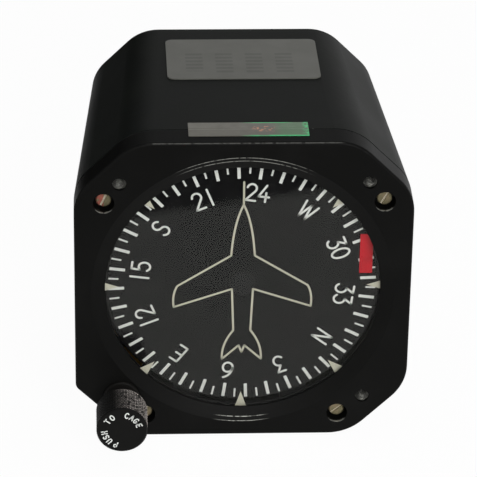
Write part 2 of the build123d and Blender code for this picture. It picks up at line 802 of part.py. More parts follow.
def make_gimbal_trunnions():
    top = cylinder_z(trunnion_radius, ring_radius, upper_arm_z + frame_arm_thickness - 0.4, 0, gimbal_y)
    top += cylinder_z(gear_hub_radius, ring_radius - 0.3, stack_top - gear_web, 0, gimbal_y)
    foot = cylinder_z(trunnion_radius, lower_arm_z - frame_arm_thickness + 0.4, -ring_radius, 0, gimbal_y)
    foot += cylinder_z(gear_hub_radius, caging_disc_top, -ring_radius + 0.3, 0, gimbal_y)
    clear = cylinder_y(ring_radius, gimbal_y - ring_width / 2, gimbal_y + ring_width / 2)
    return Compound(children=[top - clear, foot - clear])


def make_caging_disc():
    disc = cylinder_z(caging_disc_radius, caging_disc_foot, caging_disc_top, 0, gimbal_y)
    return disc - cylinder_z(trunnion_radius, caging_disc_foot - 1, caging_disc_top + 1, 0, gimbal_y)


def make_slip_rings():
    rings = []
    for z in slip_ring_heights():
        ring = cylinder_z(slip_ring_radius, z, z + slip_ring_width, 0, gimbal_y)
        rings.append(ring - cylinder_z(trunnion_radius, z - 1, z + 3, 0, gimbal_y))
    return Compound(children=rings)


def make_tilt_bearings():
    seat = ring_radius - 0.3 - tilt_bearing_width
    race = bearing(tilt_bearing_radius, tilt_pivot_radius + running_fit, tilt_bearing_width)
    right = Pos(seat, gimbal_y, 0) * Rot(0, 90, 0) * race
    left = Pos(-seat, gimbal_y, 0) * Rot(0, -90, 0) * race
    return Compound(children=[left, right])


def housing_y():
    """Front and rear of the rotor housing."""
    return gimbal_y - housing_length / 2, gimbal_y + housing_length / 2


def make_rotor_housing():
    front, rear = housing_y()
    inner = housing_radius - housing_wall
    cup = turned_y([(rotor_bearing_radius, rear - housing_cover_thickness - 1), (rotor_bearing_radius, rear),
                    (housing_radius - 2.0, rear), (housing_radius, rear - 2.0),
                    (housing_radius, front + housing_cover_thickness), (inner, front + housing_cover_thickness),
                    (inner, rear - housing_cover_thickness),
                    (rotor_bearing_radius + 2, rear - housing_cover_thickness),
                    (rotor_bearing_radius + 2, rear - housing_cover_thickness - 1)])
    for side in (-1, 1):
        x0, x1 = sorted((side * (housing_radius - 0.8), side * (ring_radius - ring_wall - 0.9)))
        cup += cylinder_x(tilt_bearing_radius + 0.6, x0, x1, gimbal_y, 0)
    cup -= cylinder_y(inner, front, gimbal_y + rotor_length / 2)
    for side in (-1, 1):
        x0, x1 = sorted((side * (inner - 0.5), side * ring_radius))
        cup -= cylinder_x(tilt_pivot_radius, x0, x1, gimbal_y, 0)
    return cup


def make_housing_cover():
    front, rear = housing_y()
    cover = cylinder_y(housing_radius, front, front + housing_cover_thickness)
    cover = chamfer(cover.edges().sort_by(Axis.Y)[0], 1.2)
    cover += cylinder_y(rotor_bearing_radius + 2, front, front + housing_cover_thickness + 1)
    cover -= cylinder_y(rotor_bearing_radius, front - 1, front + housing_cover_thickness + 2)
    for n in range(6):
        cover -= Rot(0, 60 * n, 0) * cylinder_y(0.8, front - 1, front + 4, housing_screw_circle(), 0)
    return cover


def housing_screw_circle():
    return housing_radius - housing_wall - 1.4


def make_housing_screws():
    front, rear = housing_y()
    screw = slotted_screw(0.8, 1.3, 0.6, housing_cover_thickness)
    screw = Pos(housing_screw_circle(), front, 0) * screw
    return Compound(children=[Rot(0, 60 * n, 0) * screw for n in range(6)])


def make_tilt_pivots():
    pivots = []
    for side in (-1, 1):
        x0, x1 = sorted((side * (housing_radius - housing_wall), side * (ring_radius - 0.3)))
        pivots.append(cylinder_x(tilt_pivot_radius, x0, x1, gimbal_y, 0))
    return Compound(children=pivots)


def make_rotor_bearings():
    front, rear = housing_y()
    race = bearing(rotor_bearing_radius, rotor_shaft_radius + running_fit, rotor_bearing_width)
    ahead = Pos(0, front + 0.3, 0) * Rot(-90, 0, 0) * race
    behind = Pos(0, rear - 0.3, 0) * Rot(90, 0, 0) * race
    return Compound(children=[ahead, behind])


def rotor_radius():
    return housing_radius - housing_wall - rotor_gap


def make_rotor_wheel():
    radius = rotor_radius()
    front = gimbal_y - rotor_length / 2
    rear = gimbal_y + rotor_length / 2
    hub = rotor_shaft_radius + 1.8
    points = [(rotor_shaft_radius, rear - rotor_web - 1.5), (rotor_shaft_radius, rear), (hub, rear),
              (hub + 0.8, rear - 0.8), (radius - rotor_rim, rear - 0.8), (radius - rotor_rim + 1, rear),
              (radius - 0.8, rear), (radius, rear - 0.8), (radius, front + 0.8), (radius - 0.8, front),
              (radius - rotor_rim, front), (radius - rotor_rim, rear - rotor_web), (hub, rear - rotor_web),
              (hub, rear - rotor_web - 1.5)]
    return turned_y(points)


def make_rotor_shaft():
    front, rear = housing_y()
    shaft = cylinder_y(rotor_shaft_radius, front + 0.2, rear - 0.2)
    return chamfer(shaft.edges().filter_by(GeomType.CIRCLE), 0.4)


def make_motor_stator():
    """The winding that drives the rotor, held on the housing's front cover."""
    front, rear = housing_y()
    radius = rotor_radius() - rotor_rim - stator_gap
    y0 = front + housing_cover_thickness + 1
    y1 = gimbal_y + rotor_length / 2 - rotor_web - 1.5 - stator_gap
    stator = cylinder_y(radius, y0, y1) - cylinder_y(rotor_shaft_radius + 0.8, y0 - 1, y1 + 1)
    slot = block(radius - 1.6, radius + 1, y0 + 2, y1 + 1, -0.5, 0.5)
    return stator - [Rot(0, 30 * n, 0) * slot for n in range(12)]


def pinion_rest():
    """Front of the pinion with the knob out, one travel short of the idler's front."""
    return setting_front - knob_travel


def collar_front():
    return setting_rear + collar_gap


def make_knob():
    front = -knob_standoff - knob_length
    profile = []
    for n in range(knurl_count):
        start = 2 * pi * n / knurl_count
        for share, radius in ((0.0, knob_radius - knurl_depth), (0.35, knob_radius), (0.65, knob_radius)):
            angle = start + share * 2 * pi / knurl_count
            profile.append((radius * cos(angle), radius * sin(angle)))
    knob = prism_y(make_face(Polyline(*profile, close=True)), front, -knob_standoff)
    knob &= turned_y([(0, front), (knob_radius - knob_edge, front), (knob_radius, front + knob_edge),
                      (knob_radius, -knob_standoff - knob_edge), (knob_radius - knob_edge, -knob_standoff),
                      (0, -knob_standoff)])
    knob -= cylinder_y(knob_shaft_radius, front + 2.5, 0)
    knob -= cylinder_x(setscrew_radius, 0, knob_radius + 1, front + knob_length / 2, 0)
    return Pos(knob_x, 0, knob_z) * knob


def make_knob_setscrew():
    middle = -knob_standoff - knob_length / 2
    screw = cylinder_x(setscrew_radius, knob_shaft_radius, knob_radius - 0.9, middle, 0)
    screw -= block(knob_radius - 1.6, knob_radius, middle - 0.2, middle + 0.2, -1.2, 1.2)
    return Pos(knob_x, 0, knob_z) * screw


def shaft_end():
    """Rear end of the knob's shaft, which runs on through the spring and its bracket."""
    return spring_seat() + 1.2


def spring_seat():
    """Front face of the bracket that the spring pushes against."""
    return collar_front() + collar_length + spring_length


def make_knob_shaft():
    return cylinder_y(knob_shaft_radius, -knob_standoff - knob_length + 2.5, shaft_end(), knob_x, knob_z)


def make_setting_pinion():
    y0 = pinion_rest()
    return spur_gear(pinion_teeth, knob_shaft_radius, y0, y0 + spur_width, knob_x, knob_z, pinion_phase())


def make_knob_bush():
    bush = cylinder_y(bush_radius, 0, bush_length, knob_x, knob_z)
    bush += cylinder_y(bush_flange_radius, -bush_flange_height, 0, knob_x, knob_z)
    bush = chamfer(bush.edges().filter_by(GeomType.CIRCLE).sort_by(Axis.Y)[0], 0.3)
    return bush - cylinder_y(knob_shaft_radius + running_fit, -5, bush_length + 1, knob_x, knob_z)


def make_caging_collar():
    front = collar_front()
    rear = front + collar_length
    side = (collar_length - groove_width) / 2
    bore = knob_shaft_radius + running_fit
    return turned_y([(bore, front), (collar_radius, front), (collar_radius, front + side),
                     (groove_radius, front + side), (groove_radius, rear - side),
                     (collar_radius, rear - side), (collar_radius, rear), (bore, rear)], knob_x, knob_z)


def make_shaft_clips():
    """Two clips that hold the collar on the knob's shaft, one in front of it and one behind."""
    clips = []
    for y0 in (collar_front() - 0.6, collar_front() + collar_length + 0.1):
        clip = cylinder_y(knob_shaft_radius + 0.5, y0, y0 + 0.5, knob_x, knob_z)
        clips.append(clip - cylinder_y(knob_shaft_radius, y0 - 1, y0 + 2, knob_x, knob_z))
    return Compound(children=clips)


def make_knob_spring():
    y0 = collar_front() + collar_length + 0.1
    length = spring_seat() - y0 - 0.1
    height = length - spring_wire
    helix = Helix(pitch=height / spring_turns, height=height, radius=spring_radius)
    wire = sweep((helix ^ 0) * Circle(spring_wire / 2), path=helix)
    return Pos(knob_x, y0 + spring_wire / 2, knob_z) * Rot(-90, 0, 0) * wire


def make_spring_bracket():
    """An arm from the lower frame arm that holds the shaft's end and backs the spring."""
    seat = spring_seat()
    rear = seat + 1.5
    eye_radius = spring_radius + 0.9
    eye = cylinder_y(eye_radius, seat, rear, knob_x, knob_z)
    bar = block(knob_x, -frame_arm_width / 2, seat, rear, knob_z - eye_radius - 1, knob_z - eye_radius + 2)
    foot = block(-frame_arm_width / 2 - 1.4, -frame_arm_width / 2, seat - spring_bracket_foot, rear,
                 lower_arm_z - frame_arm_thickness, lower_arm_z)
    bracket = eye + bar + foot
    return bracket - cylinder_y(knob_shaft_radius + running_fit, seat - 1, rear + 1, knob_x, knob_z)


def lever_pivot():
    """Depth and height of the lever's pivot, above the middle of the groove's travel."""
    return collar_front() + collar_length / 2 + knob_travel / 2, knob_z + lever_arm


def roller_rest():
    """The roller's centre with the knob out, turned back from its place under the caging disc."""
    pivot_y, pivot_z = lever_pivot()
    up_z = caging_disc_foot - caging_gap - roller_radius
    dy = gimbal_y - pivot_y
    dz = up_z - pivot_z
    turn = radians(lever_swing)
    return pivot_y + dy * cos(turn) + dz * sin(turn), pivot_z - dy * sin(turn) + dz * cos(turn)


def make_caging_lever():
    pivot_y, pivot_z = lever_pivot()
    x0 = lever_x - lever_thickness / 2
    x1 = lever_x + lever_thickness / 2
    hub = cylinder_x(lever_hub_radius, bracket_x() + 0.3, x1, pivot_y, pivot_z)
    groove_y = collar_front() + collar_length / 2
    down = Plane.YZ * make_face(Polyline((pivot_y - 1.6, pivot_z), (pivot_y + 1.6, pivot_z),
                                         (groove_y + 1.2, knob_z - 1.2), (groove_y - 1.2, knob_z - 1.2),
                                         close=True))
    end_y, end_z = roller_rest()
    back = Plane.YZ * make_face(Polyline((pivot_y - 1.2, pivot_z - 1.2), (pivot_y + 1.2, pivot_z + 1.2),
                                         (end_y + 1.0, end_z + 1.0), (end_y - 1.0, end_z - 1.0), close=True))
    lever = hub + Pos(x0, 0, 0) * extrude(down, amount=lever_thickness, dir=(1, 0, 0))
    lever += Pos(x0, 0, 0) * extrude(back, amount=lever_thickness, dir=(1, 0, 0))
    lever += cylinder_x(lever_pin_radius, knob_x + groove_radius + 0.15, x0 + 0.2, groove_y, knob_z)
    lever += cylinder_x(roller_pin_radius, x0 + 0.1, roller_x, end_y, end_z)
    reach = roller_width / 2
    lever += cylinder_x(roller_radius, roller_x - reach, roller_x + reach, end_y, end_z)
    return lever - cylinder_x(lever_pivot_radius + running_fit, bracket_x() - 1, x1 + 1, pivot_y, pivot_z)


def bracket_x():
    """Inner face of the lever's bracket, clear of the idler's teeth."""
    x, z = idler_place()
    return x - idler_radius - spur_addendum - 1.0


def make_lever_bracket():
    pivot_y, pivot_z = lever_pivot()
    x1 = bracket_x()
    x0 = x1 - lever_bracket_wall
    bracket = block(x0, x1, plate_rear, pivot_y + 3, pivot_z - 3, pivot_z + 6)
    bracket += block(x0, x1 + 3, plate_rear, plate_rear + 1.0, pivot_z - 1, pivot_z + 14)
    return bracket - cylinder_x(lever_pivot_radius, x0 - 1, x1 + 1, pivot_y, pivot_z)


def make_lever_pin():
    pivot_y, pivot_z = lever_pivot()
    x0 = bracket_x() - lever_bracket_wall
    x1 = lever_x + lever_thickness / 2 + 0.3
    pin = cylinder_x(lever_pivot_radius, x0, x1, pivot_y, pivot_z)
    return pin + cylinder_x(lever_pivot_radius + 0.8, x1, x1 + 0.7, pivot_y, pivot_z)


def make_warning_flag():
    middle = Pos(flag_left + flag_width / 2, (flag_bottom + flag_top) / 2)
    blade = middle * Rectangle(flag_width, flag_top - flag_bottom)
    right = flag_left + flag_width
    arm_line = make_face(Polyline((right - 0.8, flag_top), (right, flag_top - 3.0),
                                  (flag_pivot_x + 1.2, flag_pivot_z),
                                  (flag_pivot_x - 1.2, flag_pivot_z + 0.9), close=True))
    flag = blade + arm_line + Pos(flag_pivot_x, flag_pivot_z) * Circle(1.5)
    flag = prism_y(flag, flag_front, flag_front + flag_thickness)
    return flag - cylinder_y(flag_shaft_radius, flag_front - 1, flag_front + 2, flag_pivot_x, flag_pivot_z)


def make_flag_shaft():
    """The flag's shaft, with the iron vane that the coil pulls at its rear end."""
    y0 = plate_rear + 2.0
    shaft = cylinder_y(flag_shaft_radius, flag_front, y0 + 3.0, flag_pivot_x, flag_pivot_z)
    vane = cylinder_y(1.6, y0, y0 + 2.4, flag_pivot_x, flag_pivot_z)
    vane += block(flag_pivot_x - 0.7, flag_pivot_x + 0.7, y0, y0 + 2.4, flag_pivot_z - 5.0, flag_pivot_z)
    return shaft + vane


def make_flag_coil():
    x = flag_pivot_x - 2.0
    z = flag_pivot_z - coil_drop
    end = plate_rear + coil_length
    spool = cylinder_y(coil_radius, plate_rear, plate_rear + 0.8, x, z)
    spool += cylinder_y(coil_radius, end - 0.8, end, x, z)
    return spool + cylinder_y(coil_radius - 0.6, plate_rear, end, x, z)


nodes = {
    "bezel": make_bezel,
    "mounting_inserts": make_mounting_inserts,
    "window_glass": make_window_glass,
    "retaining_ring": make_retaining_ring,
    "case_gasket": make_case_gasket,
    "case_shell": make_case_shell,
    "rear_cover": make_rear_cover,
    "bezel_screws": make_bezel_screws,
    "rear_cover_screws": make_rear_cover_screws,
    "connector_shell": make_connector_shell,
    "connector_insert": make_connector_insert,
    "connector_pins": make_connector_pins,
    "connector_screws": make_connector_screws,
    "data_plate": make_data_plate,
    "tamper_seal": make_tamper_seal,
    "front_plate": make_front_plate,
    "plate_posts": make_plate_posts,
    "plate_screws": make_plate_screws,
    "card_bearings": make_card_bearings,
    "upper_frame_arm": make_upper_frame_arm,
    "lower_frame_arm": make_lower_frame_arm,
    "gimbal_bearings": make_gimbal_bearings,
    "brush_block": make_brush_block,
    "heading_card": make_heading_card,
    "card_hub": make_card_hub,
    "card_screws": make_card_screws,
    "card_shaft": make_card_shaft,
    "setting_gear": make_setting_gear,
    "card_bevel_gear": make_card_bevel_gear,
    "idler_stud": make_idler_stud,
    "idler_gear": make_idler_gear,
    "gimbal_bevel_gear": make_gimbal_bevel_gear,
    "gimbal_ring": make_gimbal_ring,
    "gimbal_trunnions": make_gimbal_trunnions,
    "caging_disc": make_caging_disc,
    "slip_rings": make_slip_rings,
    "tilt_bearings": make_tilt_bearings,
    "rotor_housing": make_rotor_housing,
    "housing_cover": make_housing_cover,
    "housing_screws": make_housing_screws,
    "tilt_pivots": make_tilt_pivots,
    "rotor_bearings": make_rotor_bearings,
    "motor_stator": make_motor_stator,
    "rotor_wheel": make_rotor_wheel,
    "rotor_shaft": make_rotor_shaft,
    "knob": make_knob,
    "knob_setscrew": make_knob_setscrew,
    "knob_shaft": make_knob_shaft,
    "setting_pinion": make_setting_pinion,
    "knob_bush": make_knob_bush,
    "caging_collar": make_caging_collar,
    "shaft_clips": make_shaft_clips,
    "knob_spring": make_knob_spring,
    "spring_bracket": make_spring_bracket,
    "caging_lever": make_caging_lever,
    "lever_bracket": make_lever_bracket,
    "lever_pin": make_lever_pin,
    "warning_flag": make_warning_flag,
    "flag_shaft": make_flag_shaft,
    "flag_coil": make_flag_coil,
}

os.makedirs("parts", exist_ok=True)
for name, make in nodes.items():
    export_step(make(), f"parts/{name}.step")
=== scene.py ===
"""Directional gyro on a pale floor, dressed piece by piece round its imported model.

Metres, +X to the right, +Y into the panel, +Z up. The origin is the middle of the bezel's face.
"""
from math import atan2, cos, pi, radians, sin, sqrt

import bmesh
import bpy
from mathutils import Matrix, Vector


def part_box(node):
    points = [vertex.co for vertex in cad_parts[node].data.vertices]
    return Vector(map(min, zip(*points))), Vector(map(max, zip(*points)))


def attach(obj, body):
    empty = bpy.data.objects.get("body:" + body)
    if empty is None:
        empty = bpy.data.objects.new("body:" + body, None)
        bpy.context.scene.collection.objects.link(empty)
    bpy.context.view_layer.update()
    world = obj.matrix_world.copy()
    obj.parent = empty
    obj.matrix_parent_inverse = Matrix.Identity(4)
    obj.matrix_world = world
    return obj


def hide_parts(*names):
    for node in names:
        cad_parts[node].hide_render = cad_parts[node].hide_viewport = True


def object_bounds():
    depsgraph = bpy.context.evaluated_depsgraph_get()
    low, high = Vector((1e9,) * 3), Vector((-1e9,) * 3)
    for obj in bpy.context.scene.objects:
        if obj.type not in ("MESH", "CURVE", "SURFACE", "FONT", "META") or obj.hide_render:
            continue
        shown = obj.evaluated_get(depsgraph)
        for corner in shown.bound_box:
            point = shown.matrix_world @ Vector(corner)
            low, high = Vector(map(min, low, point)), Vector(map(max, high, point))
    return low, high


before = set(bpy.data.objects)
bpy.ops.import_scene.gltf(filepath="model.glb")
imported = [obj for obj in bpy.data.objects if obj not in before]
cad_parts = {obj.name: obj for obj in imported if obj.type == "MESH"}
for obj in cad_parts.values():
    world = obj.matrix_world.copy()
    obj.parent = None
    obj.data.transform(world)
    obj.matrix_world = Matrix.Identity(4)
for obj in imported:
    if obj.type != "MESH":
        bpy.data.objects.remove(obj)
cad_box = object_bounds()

scene = bpy.context.scene
mm = 0.001


# Case shell and rear cover
# Two aluminium castings, sprayed with a semi-gloss black enamel that has a fine orange peel.
# The rear cover sinks into the shell's open end. The shell has rubbed a little at the seam.
def shade(red, green, blue):
    """Turns a colour as the eye sees it, each part from 0 to 255, into a shader's linear one."""
    parts = [part / 255 for part in (red, green, blue)]
    linear = [part / 12.92 if part < 0.04 else ((part + 0.055) / 1.055) ** 2.4 for part in parts]
    return (*linear, 1.0)


class Value:
    """A number that varies over a surface. The operators of Python add Math nodes to it."""

    def __init__(self, wiring, socket):
        self.wiring = wiring
        self.socket = socket

    def math(self, operation, *others):
        sockets = dict(enumerate((self, *others)))
        return self.wiring.node("ShaderNodeMath", {"operation": operation}, sockets)

    def __add__(self, other):
        return self.math("ADD", other)

    def __sub__(self, other):
        return self.math("SUBTRACT", other)

    def __rsub__(self, other):
        return self.math("MULTIPLY_ADD", -1.0, other)

    def __mul__(self, other):
        return self.math("MULTIPLY", other)

    def __truediv__(self, other):
        return self.math("DIVIDE", other)

    def __abs__(self):
        return self.math("ABSOLUTE")

    def __gt__(self, other):
        return self.math("GREATER_THAN", other)

    def __lt__(self, other):
        return self.math("LESS_THAN", other)

    def root(self):
        return self.math("SQRT")

    def greatest(self, other):
        return self.math("MAXIMUM", other)

    def fraction(self):
        return self.math("FRACT")

    def rise(self, low, high):
        """0 below the low value, 1 above the high one, and smooth between them."""
        sockets = {"Value": self, "From Min": low, "From Max": high}
        return self.wiring.node("ShaderNodeMapRange", {"interpolation_type": "SMOOTHSTEP"}, sockets)

    __radd__ = __add__
    __rmul__ = __mul__


class Wiring:
    """A node tree in the making."""

    def __init__(self, tree):
        self.tree = tree

    def node(self, kind, settings, sockets, output=0):
        """Adds a node: its settings first, then the values or links of its sockets."""
        made = self.tree.nodes.new(kind)
        for name, setting in settings.items():
            setattr(made, name, setting)
        for name, value in sockets.items():
            self.join(value, made.inputs[name])
        return Value(self, made.outputs[output])

    def join(self, value, socket):
        if isinstance(value, Value):
            self.tree.links.new(value.socket, socket)
        else:
            socket.default_value = value


class Finish(Wiring):
    """A material in the making: one shader and the nodes that feed it."""

    def __init__(self, name, colour, roughness, **fixed):
        self.material = bpy.data.materials.new(name)
        self.material.use_nodes = True
        self.material.diffuse_color = colour
        super().__init__(self.material.node_tree)
        self.shader = self.tree.nodes["Principled BSDF"]
        self.feed("Base Color", colour)
        self.feed("Roughness", roughness)
        for socket, value in fixed.items():
            self.feed(socket.replace("_", " "), value)
        self.place = self.node("ShaderNodeTexCoord", {}, {}, "Object")

    def feed(self, socket, value):
        self.join(value, self.shader.inputs[socket])

    def noise(self, size, detail=3.0, stretch=(1, 1, 1)):
        """Soft noise from 0 to 1, with lumps of a size in metres, stretched along the axes."""
        scale = [1 / (size * part) for part in stretch]
        place = self.node("ShaderNodeMapping", {}, {"Vector": self.place, "Scale": scale})
        return self.node("ShaderNodeTexNoise", {}, {"Vector": place, "Scale": 1.0, "Detail": detail})

    def axes(self):
        """A point's three coordinates, in metres."""
        split = self.node("ShaderNodeSeparateXYZ", {}, {0: self.place})
        outputs = split.socket.node.outputs
        return Value(self, outputs[0]), Value(self, outputs[1]), Value(self, outputs[2])

    def mix(self, share, first, second):
        """From the first colour to the second, as the share goes from 0 to 1."""
        return self.node("ShaderNodeMix", {"data_type": "RGBA"}, {0: share, 6: first, 7: second}, 2)

    def bump(self, height, depth):
        """Relief of a depth in metres, from a height that goes from 0 to 1."""
        sockets = {"Height": height, "Distance": depth, "Strength": 1.0}
        self.feed("Normal", self.node("ShaderNodeBump", {}, sockets))


def dress(finish, *nodes):
    """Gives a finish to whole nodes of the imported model."""
    for node in nodes:
        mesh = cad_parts[node].data
        mesh.materials.clear()
        mesh.materials.append(finish.material)


def enamel(name, black, dust, roughness, wear_and_highlight):
    """Black enamel. The wear and painted highlight mask, from 0 to 1, shows bare metal where the noise lets
    it through.
    """
    finish = Finish(name, black, roughness, Specular_IOR_Level=0.06)
    cloud = finish.noise(18 * mm, 4.0)
    dusty = finish.mix(cloud.rise(0.45, 0.75), black, dust)
    peel = finish.noise(1.1 * mm, 2.0)
    grit = finish.noise(0.35 * mm, 5.0)
    # Bare metal for real wear on the case, and for painted highlights on the bezel.
    bare_and_highlight = wear_and_highlight(finish) * finish.noise(0.9 * mm, 4.0).rise(0.3, 0.55)
    finish.feed("Base Color", finish.mix(bare_and_highlight, dusty, shade(150, 150, 144)))
    finish.feed("Metallic", bare_and_highlight * 0.6)
    finish.feed("Roughness", roughness + cloud * 0.1 + grit * 0.05 - bare_and_highlight * 0.1)
    finish.bump(peel + grit * 0.35 - bare_and_highlight * 0.6, 0.012 * mm)
    return finish


case_low, case_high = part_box("case_shell")
half_width = case_high[0]
edge_wear_and_highlight_width = 0.4 * mm


def case_wear(finish):
    """Rubbed paint in a few spots along the case's front edge, at the seam."""
    depth = finish.axes()[1]
    return (depth - case_low[1]).rise(edge_wear_and_highlight_width, 0) * finish.noise(4 * mm).rise(0.6, 0.7)


case_enamel = enamel("case_enamel", shade(14, 16, 14), shade(19, 21, 18), 0.46, case_wear)
dress(case_enamel, "case_shell", "rear_cover")


# Case gasket
# A die-cut sheet of black neoprene between the bezel and the case. It shows as a thin matt line.
gasket = Finish("neoprene", shade(12, 12, 12), 0.85)
gasket_grain = gasket.noise(0.4 * mm)
gasket.feed("Roughness", 0.78 + gasket_grain * 0.2)
gasket.bump(gasket_grain, 0.02 * mm)
dress(gasket, "case_gasket")


# Bezel
# One machined casting in the same enamel, with a turned lip and a cone down to the glass. Painted highlights
# of bare metal lie along the face's top edge, on the lip above and below the window, and on the lower rim of
# each screw's well, where light catches those edges.
lip_edges = (38.7 * mm, 37.6 * mm)
lip_highlight_width = 0.12 * mm
full_highlight_depth = 0.5 * mm
last_highlight_depth = 0.6 * mm
screw_wells = ((-35.4 * mm, 26.0 * mm), (35.4 * mm, 26.0 * mm), (25.0 * mm, -36.5 * mm))
well_radius = 2.7 * mm


def bezel_highlights(finish):
    """Painted highlights on the face's top edge, on the lip above and below the window, and on each screw
    well's lower rim.
    """
    x, depth, z = finish.axes()
    radius = (x * x + z * z).root()
    outline = (z - half_width + edge_wear_and_highlight_width).rise(0, edge_wear_and_highlight_width) * depth.rise(edge_wear_and_highlight_width, 0)
    rings = [abs(radius - edge).rise(lip_highlight_width, lip_highlight_width / 3) for edge in lip_edges]
    upright = z / radius
    # Painted highlight only on the lip's top and foot, where the light catches it.
    top_and_foot = upright.rise(0.88, 0.98).greatest(upright.rise(-0.98, -0.998))
    highlighted = outline.greatest(rings[0].greatest(rings[1]) * top_and_foot)
    for well_x, well_z in screw_wells:
        across = x - well_x
        above = z - well_z
        rim = abs((across * across + above * above).root() - well_radius).rise(lip_highlight_width, 0)
        highlighted = highlighted.greatest(rim * above.rise(-well_radius / 2, -well_radius))
    near_face = depth.rise(last_highlight_depth, full_highlight_depth)
    return highlighted * near_face * finish.noise(3 * mm).rise(0.25, 0.45)


bezel_enamel = enamel("bezel_enamel", shade(11, 11, 10), shade(15, 15, 14), 0.4, bezel_highlights)
dress(bezel_enamel, "bezel")


# Mounting inserts and plain steel parts
# Stainless sleeves pressed into three corners of the bezel, turned on a lathe. The same bright
# turned steel serves for the pins, shafts, bearings and small screws inside.
def metal(name, colour, dull, roughness, grain=0.25 * mm):
    """A bare metal with fine tool marks and a thin uneven film of tarnish."""
    finish = Finish(name, colour, roughness, Metallic=1.0)
    tarnish = finish.noise(5 * mm, 4.0)
    marks = finish.noise(grain, 2.0, (4, 1, 4))
    finish.feed("Base Color", finish.mix(tarnish.rise(0.42, 0.72), colour, dull))
    finish.feed("Roughness", roughness + tarnish * 0.15 + marks * 0.06)
    finish.bump(marks, 0.004 * mm)
    return finish


steel = metal("turned_steel", shade(196, 196, 192), shade(150, 149, 143), 0.22)
dress(steel, "mounting_inserts", "rear_cover_screws", "connector_screws", "plate_screws", "card_bearings",
      "gimbal_bearings", "idler_stud", "knob_spring", "lever_pin", "card_screws", "card_shaft",
      "gimbal_trunnions", "tilt_bearings", "housing_screws", "tilt_pivots", "rotor_bearings", "rotor_shaft",
      "caging_collar", "knob_setscrew", "knob_shaft", "setting_pinion", "shaft_clips", "caging_lever",
      "flag_shaft")


# Bezel screws
# Slotted steel screws with a gold cadmium plate, which has gone olive, and reddish on the upper left one. The
# slots are a pale, bright colour from just below the head's face down.
cadmium = Finish("gold_cadmium", shade(132, 118, 88), 0.4, Metallic=0.7)
screw_across, screw_depth, screw_up = cadmium.axes()
screw_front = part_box("bezel_screws")[0][1]
reddish = (screw_across < screw_wells[0][0]) * (screw_up > 0) * cadmium.noise(1.2 * mm).rise(0.3, 0.45)
cadmium_film = cadmium.mix(cadmium.noise(1.6 * mm).rise(0.35, 0.6), shade(128, 115, 90), shade(112, 106, 80))
cadmium_film = cadmium.mix(reddish, cadmium_film, shade(158, 92, 78))
head_depth = 0.3 * mm
slot_depth = 0.5 * mm
slot_bottom = (screw_depth - screw_front).rise(head_depth, slot_depth)
cadmium.feed("Base Color", cadmium.mix(slot_bottom, cadmium_film, shade(206, 198, 178)))
cadmium.feed("Roughness", 0.34 + cadmium.noise(0.3 * mm) * 0.25)
dress(cadmium, "bezel_screws")


# Window glass
# A flat clear disc with ground edges and a thin coat on both faces that takes most of the glare.
coated_index = 1.22
glass = Finish("window_glass", (0.93, 0.95, 0.94, 1), 0.02)
glass_clear = glass.node("ShaderNodeBsdfTransparent", {}, {"Color": (0.975, 0.975, 0.97, 1)})
glass_mirror = glass.node("ShaderNodeBsdfGlossy", {}, {"Color": (1, 1, 0.94, 1), "Roughness": 0.03})
glass_share = glass.node("ShaderNodeFresnel", {}, {"IOR": coated_index})
glass_surface = glass.node("ShaderNodeMixShader", {}, {0: glass_share, 1: glass_clear, 2: glass_mirror})
glass.tree.nodes.remove(glass.shader)
glass.join(glass_surface, glass.tree.nodes["Material Output"].inputs["Surface"])
dress(glass, "window_glass")
glass_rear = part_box("window_glass")[1][1]


# Index triangles
# Seven small triangles screened on the back of the glass in a pale cream paint, one at each
# 45 degrees but the top, with their bases under the window's edge.
class Pattern(Wiring):
    """A Geometry Nodes tree in the making, with a named input for each of its sizes."""

    def __init__(self, name, **sizes):
        super().__init__(bpy.data.node_groups.new(name, "GeometryNodeTree"))
        self.sizes = sizes
        for label, size in sizes.items():
            kind = "NodeSocketInt" if isinstance(size, int) else "NodeSocketFloat"
            self.tree.interface.new_socket(name=label, in_out="INPUT", socket_type=kind)
        self.tree.interface.new_socket(name="Geometry", in_out="OUTPUT", socket_type="NodeSocketGeometry")
        self.entry = self.tree.nodes.new("NodeGroupInput")

    def size(self, label):
        return Value(self, self.entry.outputs[label])

    def vector(self, x, y, z):
        return self.node("ShaderNodeCombineXYZ", {}, {0: x, 1: y, 2: z})

    def moved(self, geometry, place):
        return self.node("GeometryNodeTransform", {}, {"Geometry": geometry, "Translation": place})

    def turned(self, geometry, turns, scale):
        sockets = {"Geometry": geometry, "Rotation": turns, "Scale": scale}
        return self.node("GeometryNodeTransform", {}, sockets)

    def wheel(self, piece, count, start, step):
        """Turns copies of a piece about the Y axis, clockwise from the top as the pilot sees them."""
        points = self.node("GeometryNodePoints", {}, {"Count": count, "Position": (0, 0, 0)})
        turn = self.node("GeometryNodeInputIndex", {}, {}) * step + start
        turns = self.node("FunctionNodeEulerToRotation", {}, {0: self.vector(0, turn, 0)})
        sockets = {"Points": points, "Instance": piece, "Rotation": turns}
        return self.node("GeometryNodeInstanceOnPoints", {}, sockets)

    def piece(self, name, geometry, finish):
        """Turns the finished tree into a plain mesh piece."""
        geometry = self.node("GeometryNodeRealizeInstances", {}, {0: geometry})
        geometry = self.node("GeometryNodeSetMaterial", {}, {0: geometry, "Material": finish.material})
        leave = self.tree.nodes.new("NodeGroupOutput")
        self.join(geometry, leave.inputs[0])
        holder = bpy.data.objects.new(name, bpy.data.meshes.new(name))
        scene.collection.objects.link(holder)
        modifier = holder.modifiers.new("pattern", "NODES")
        modifier.node_group = self.tree
        for item in self.tree.interface.items_tree:
            if item.in_out == "INPUT":
                modifier[item.identifier] = self.sizes[item.name]
        return made_plain(holder)


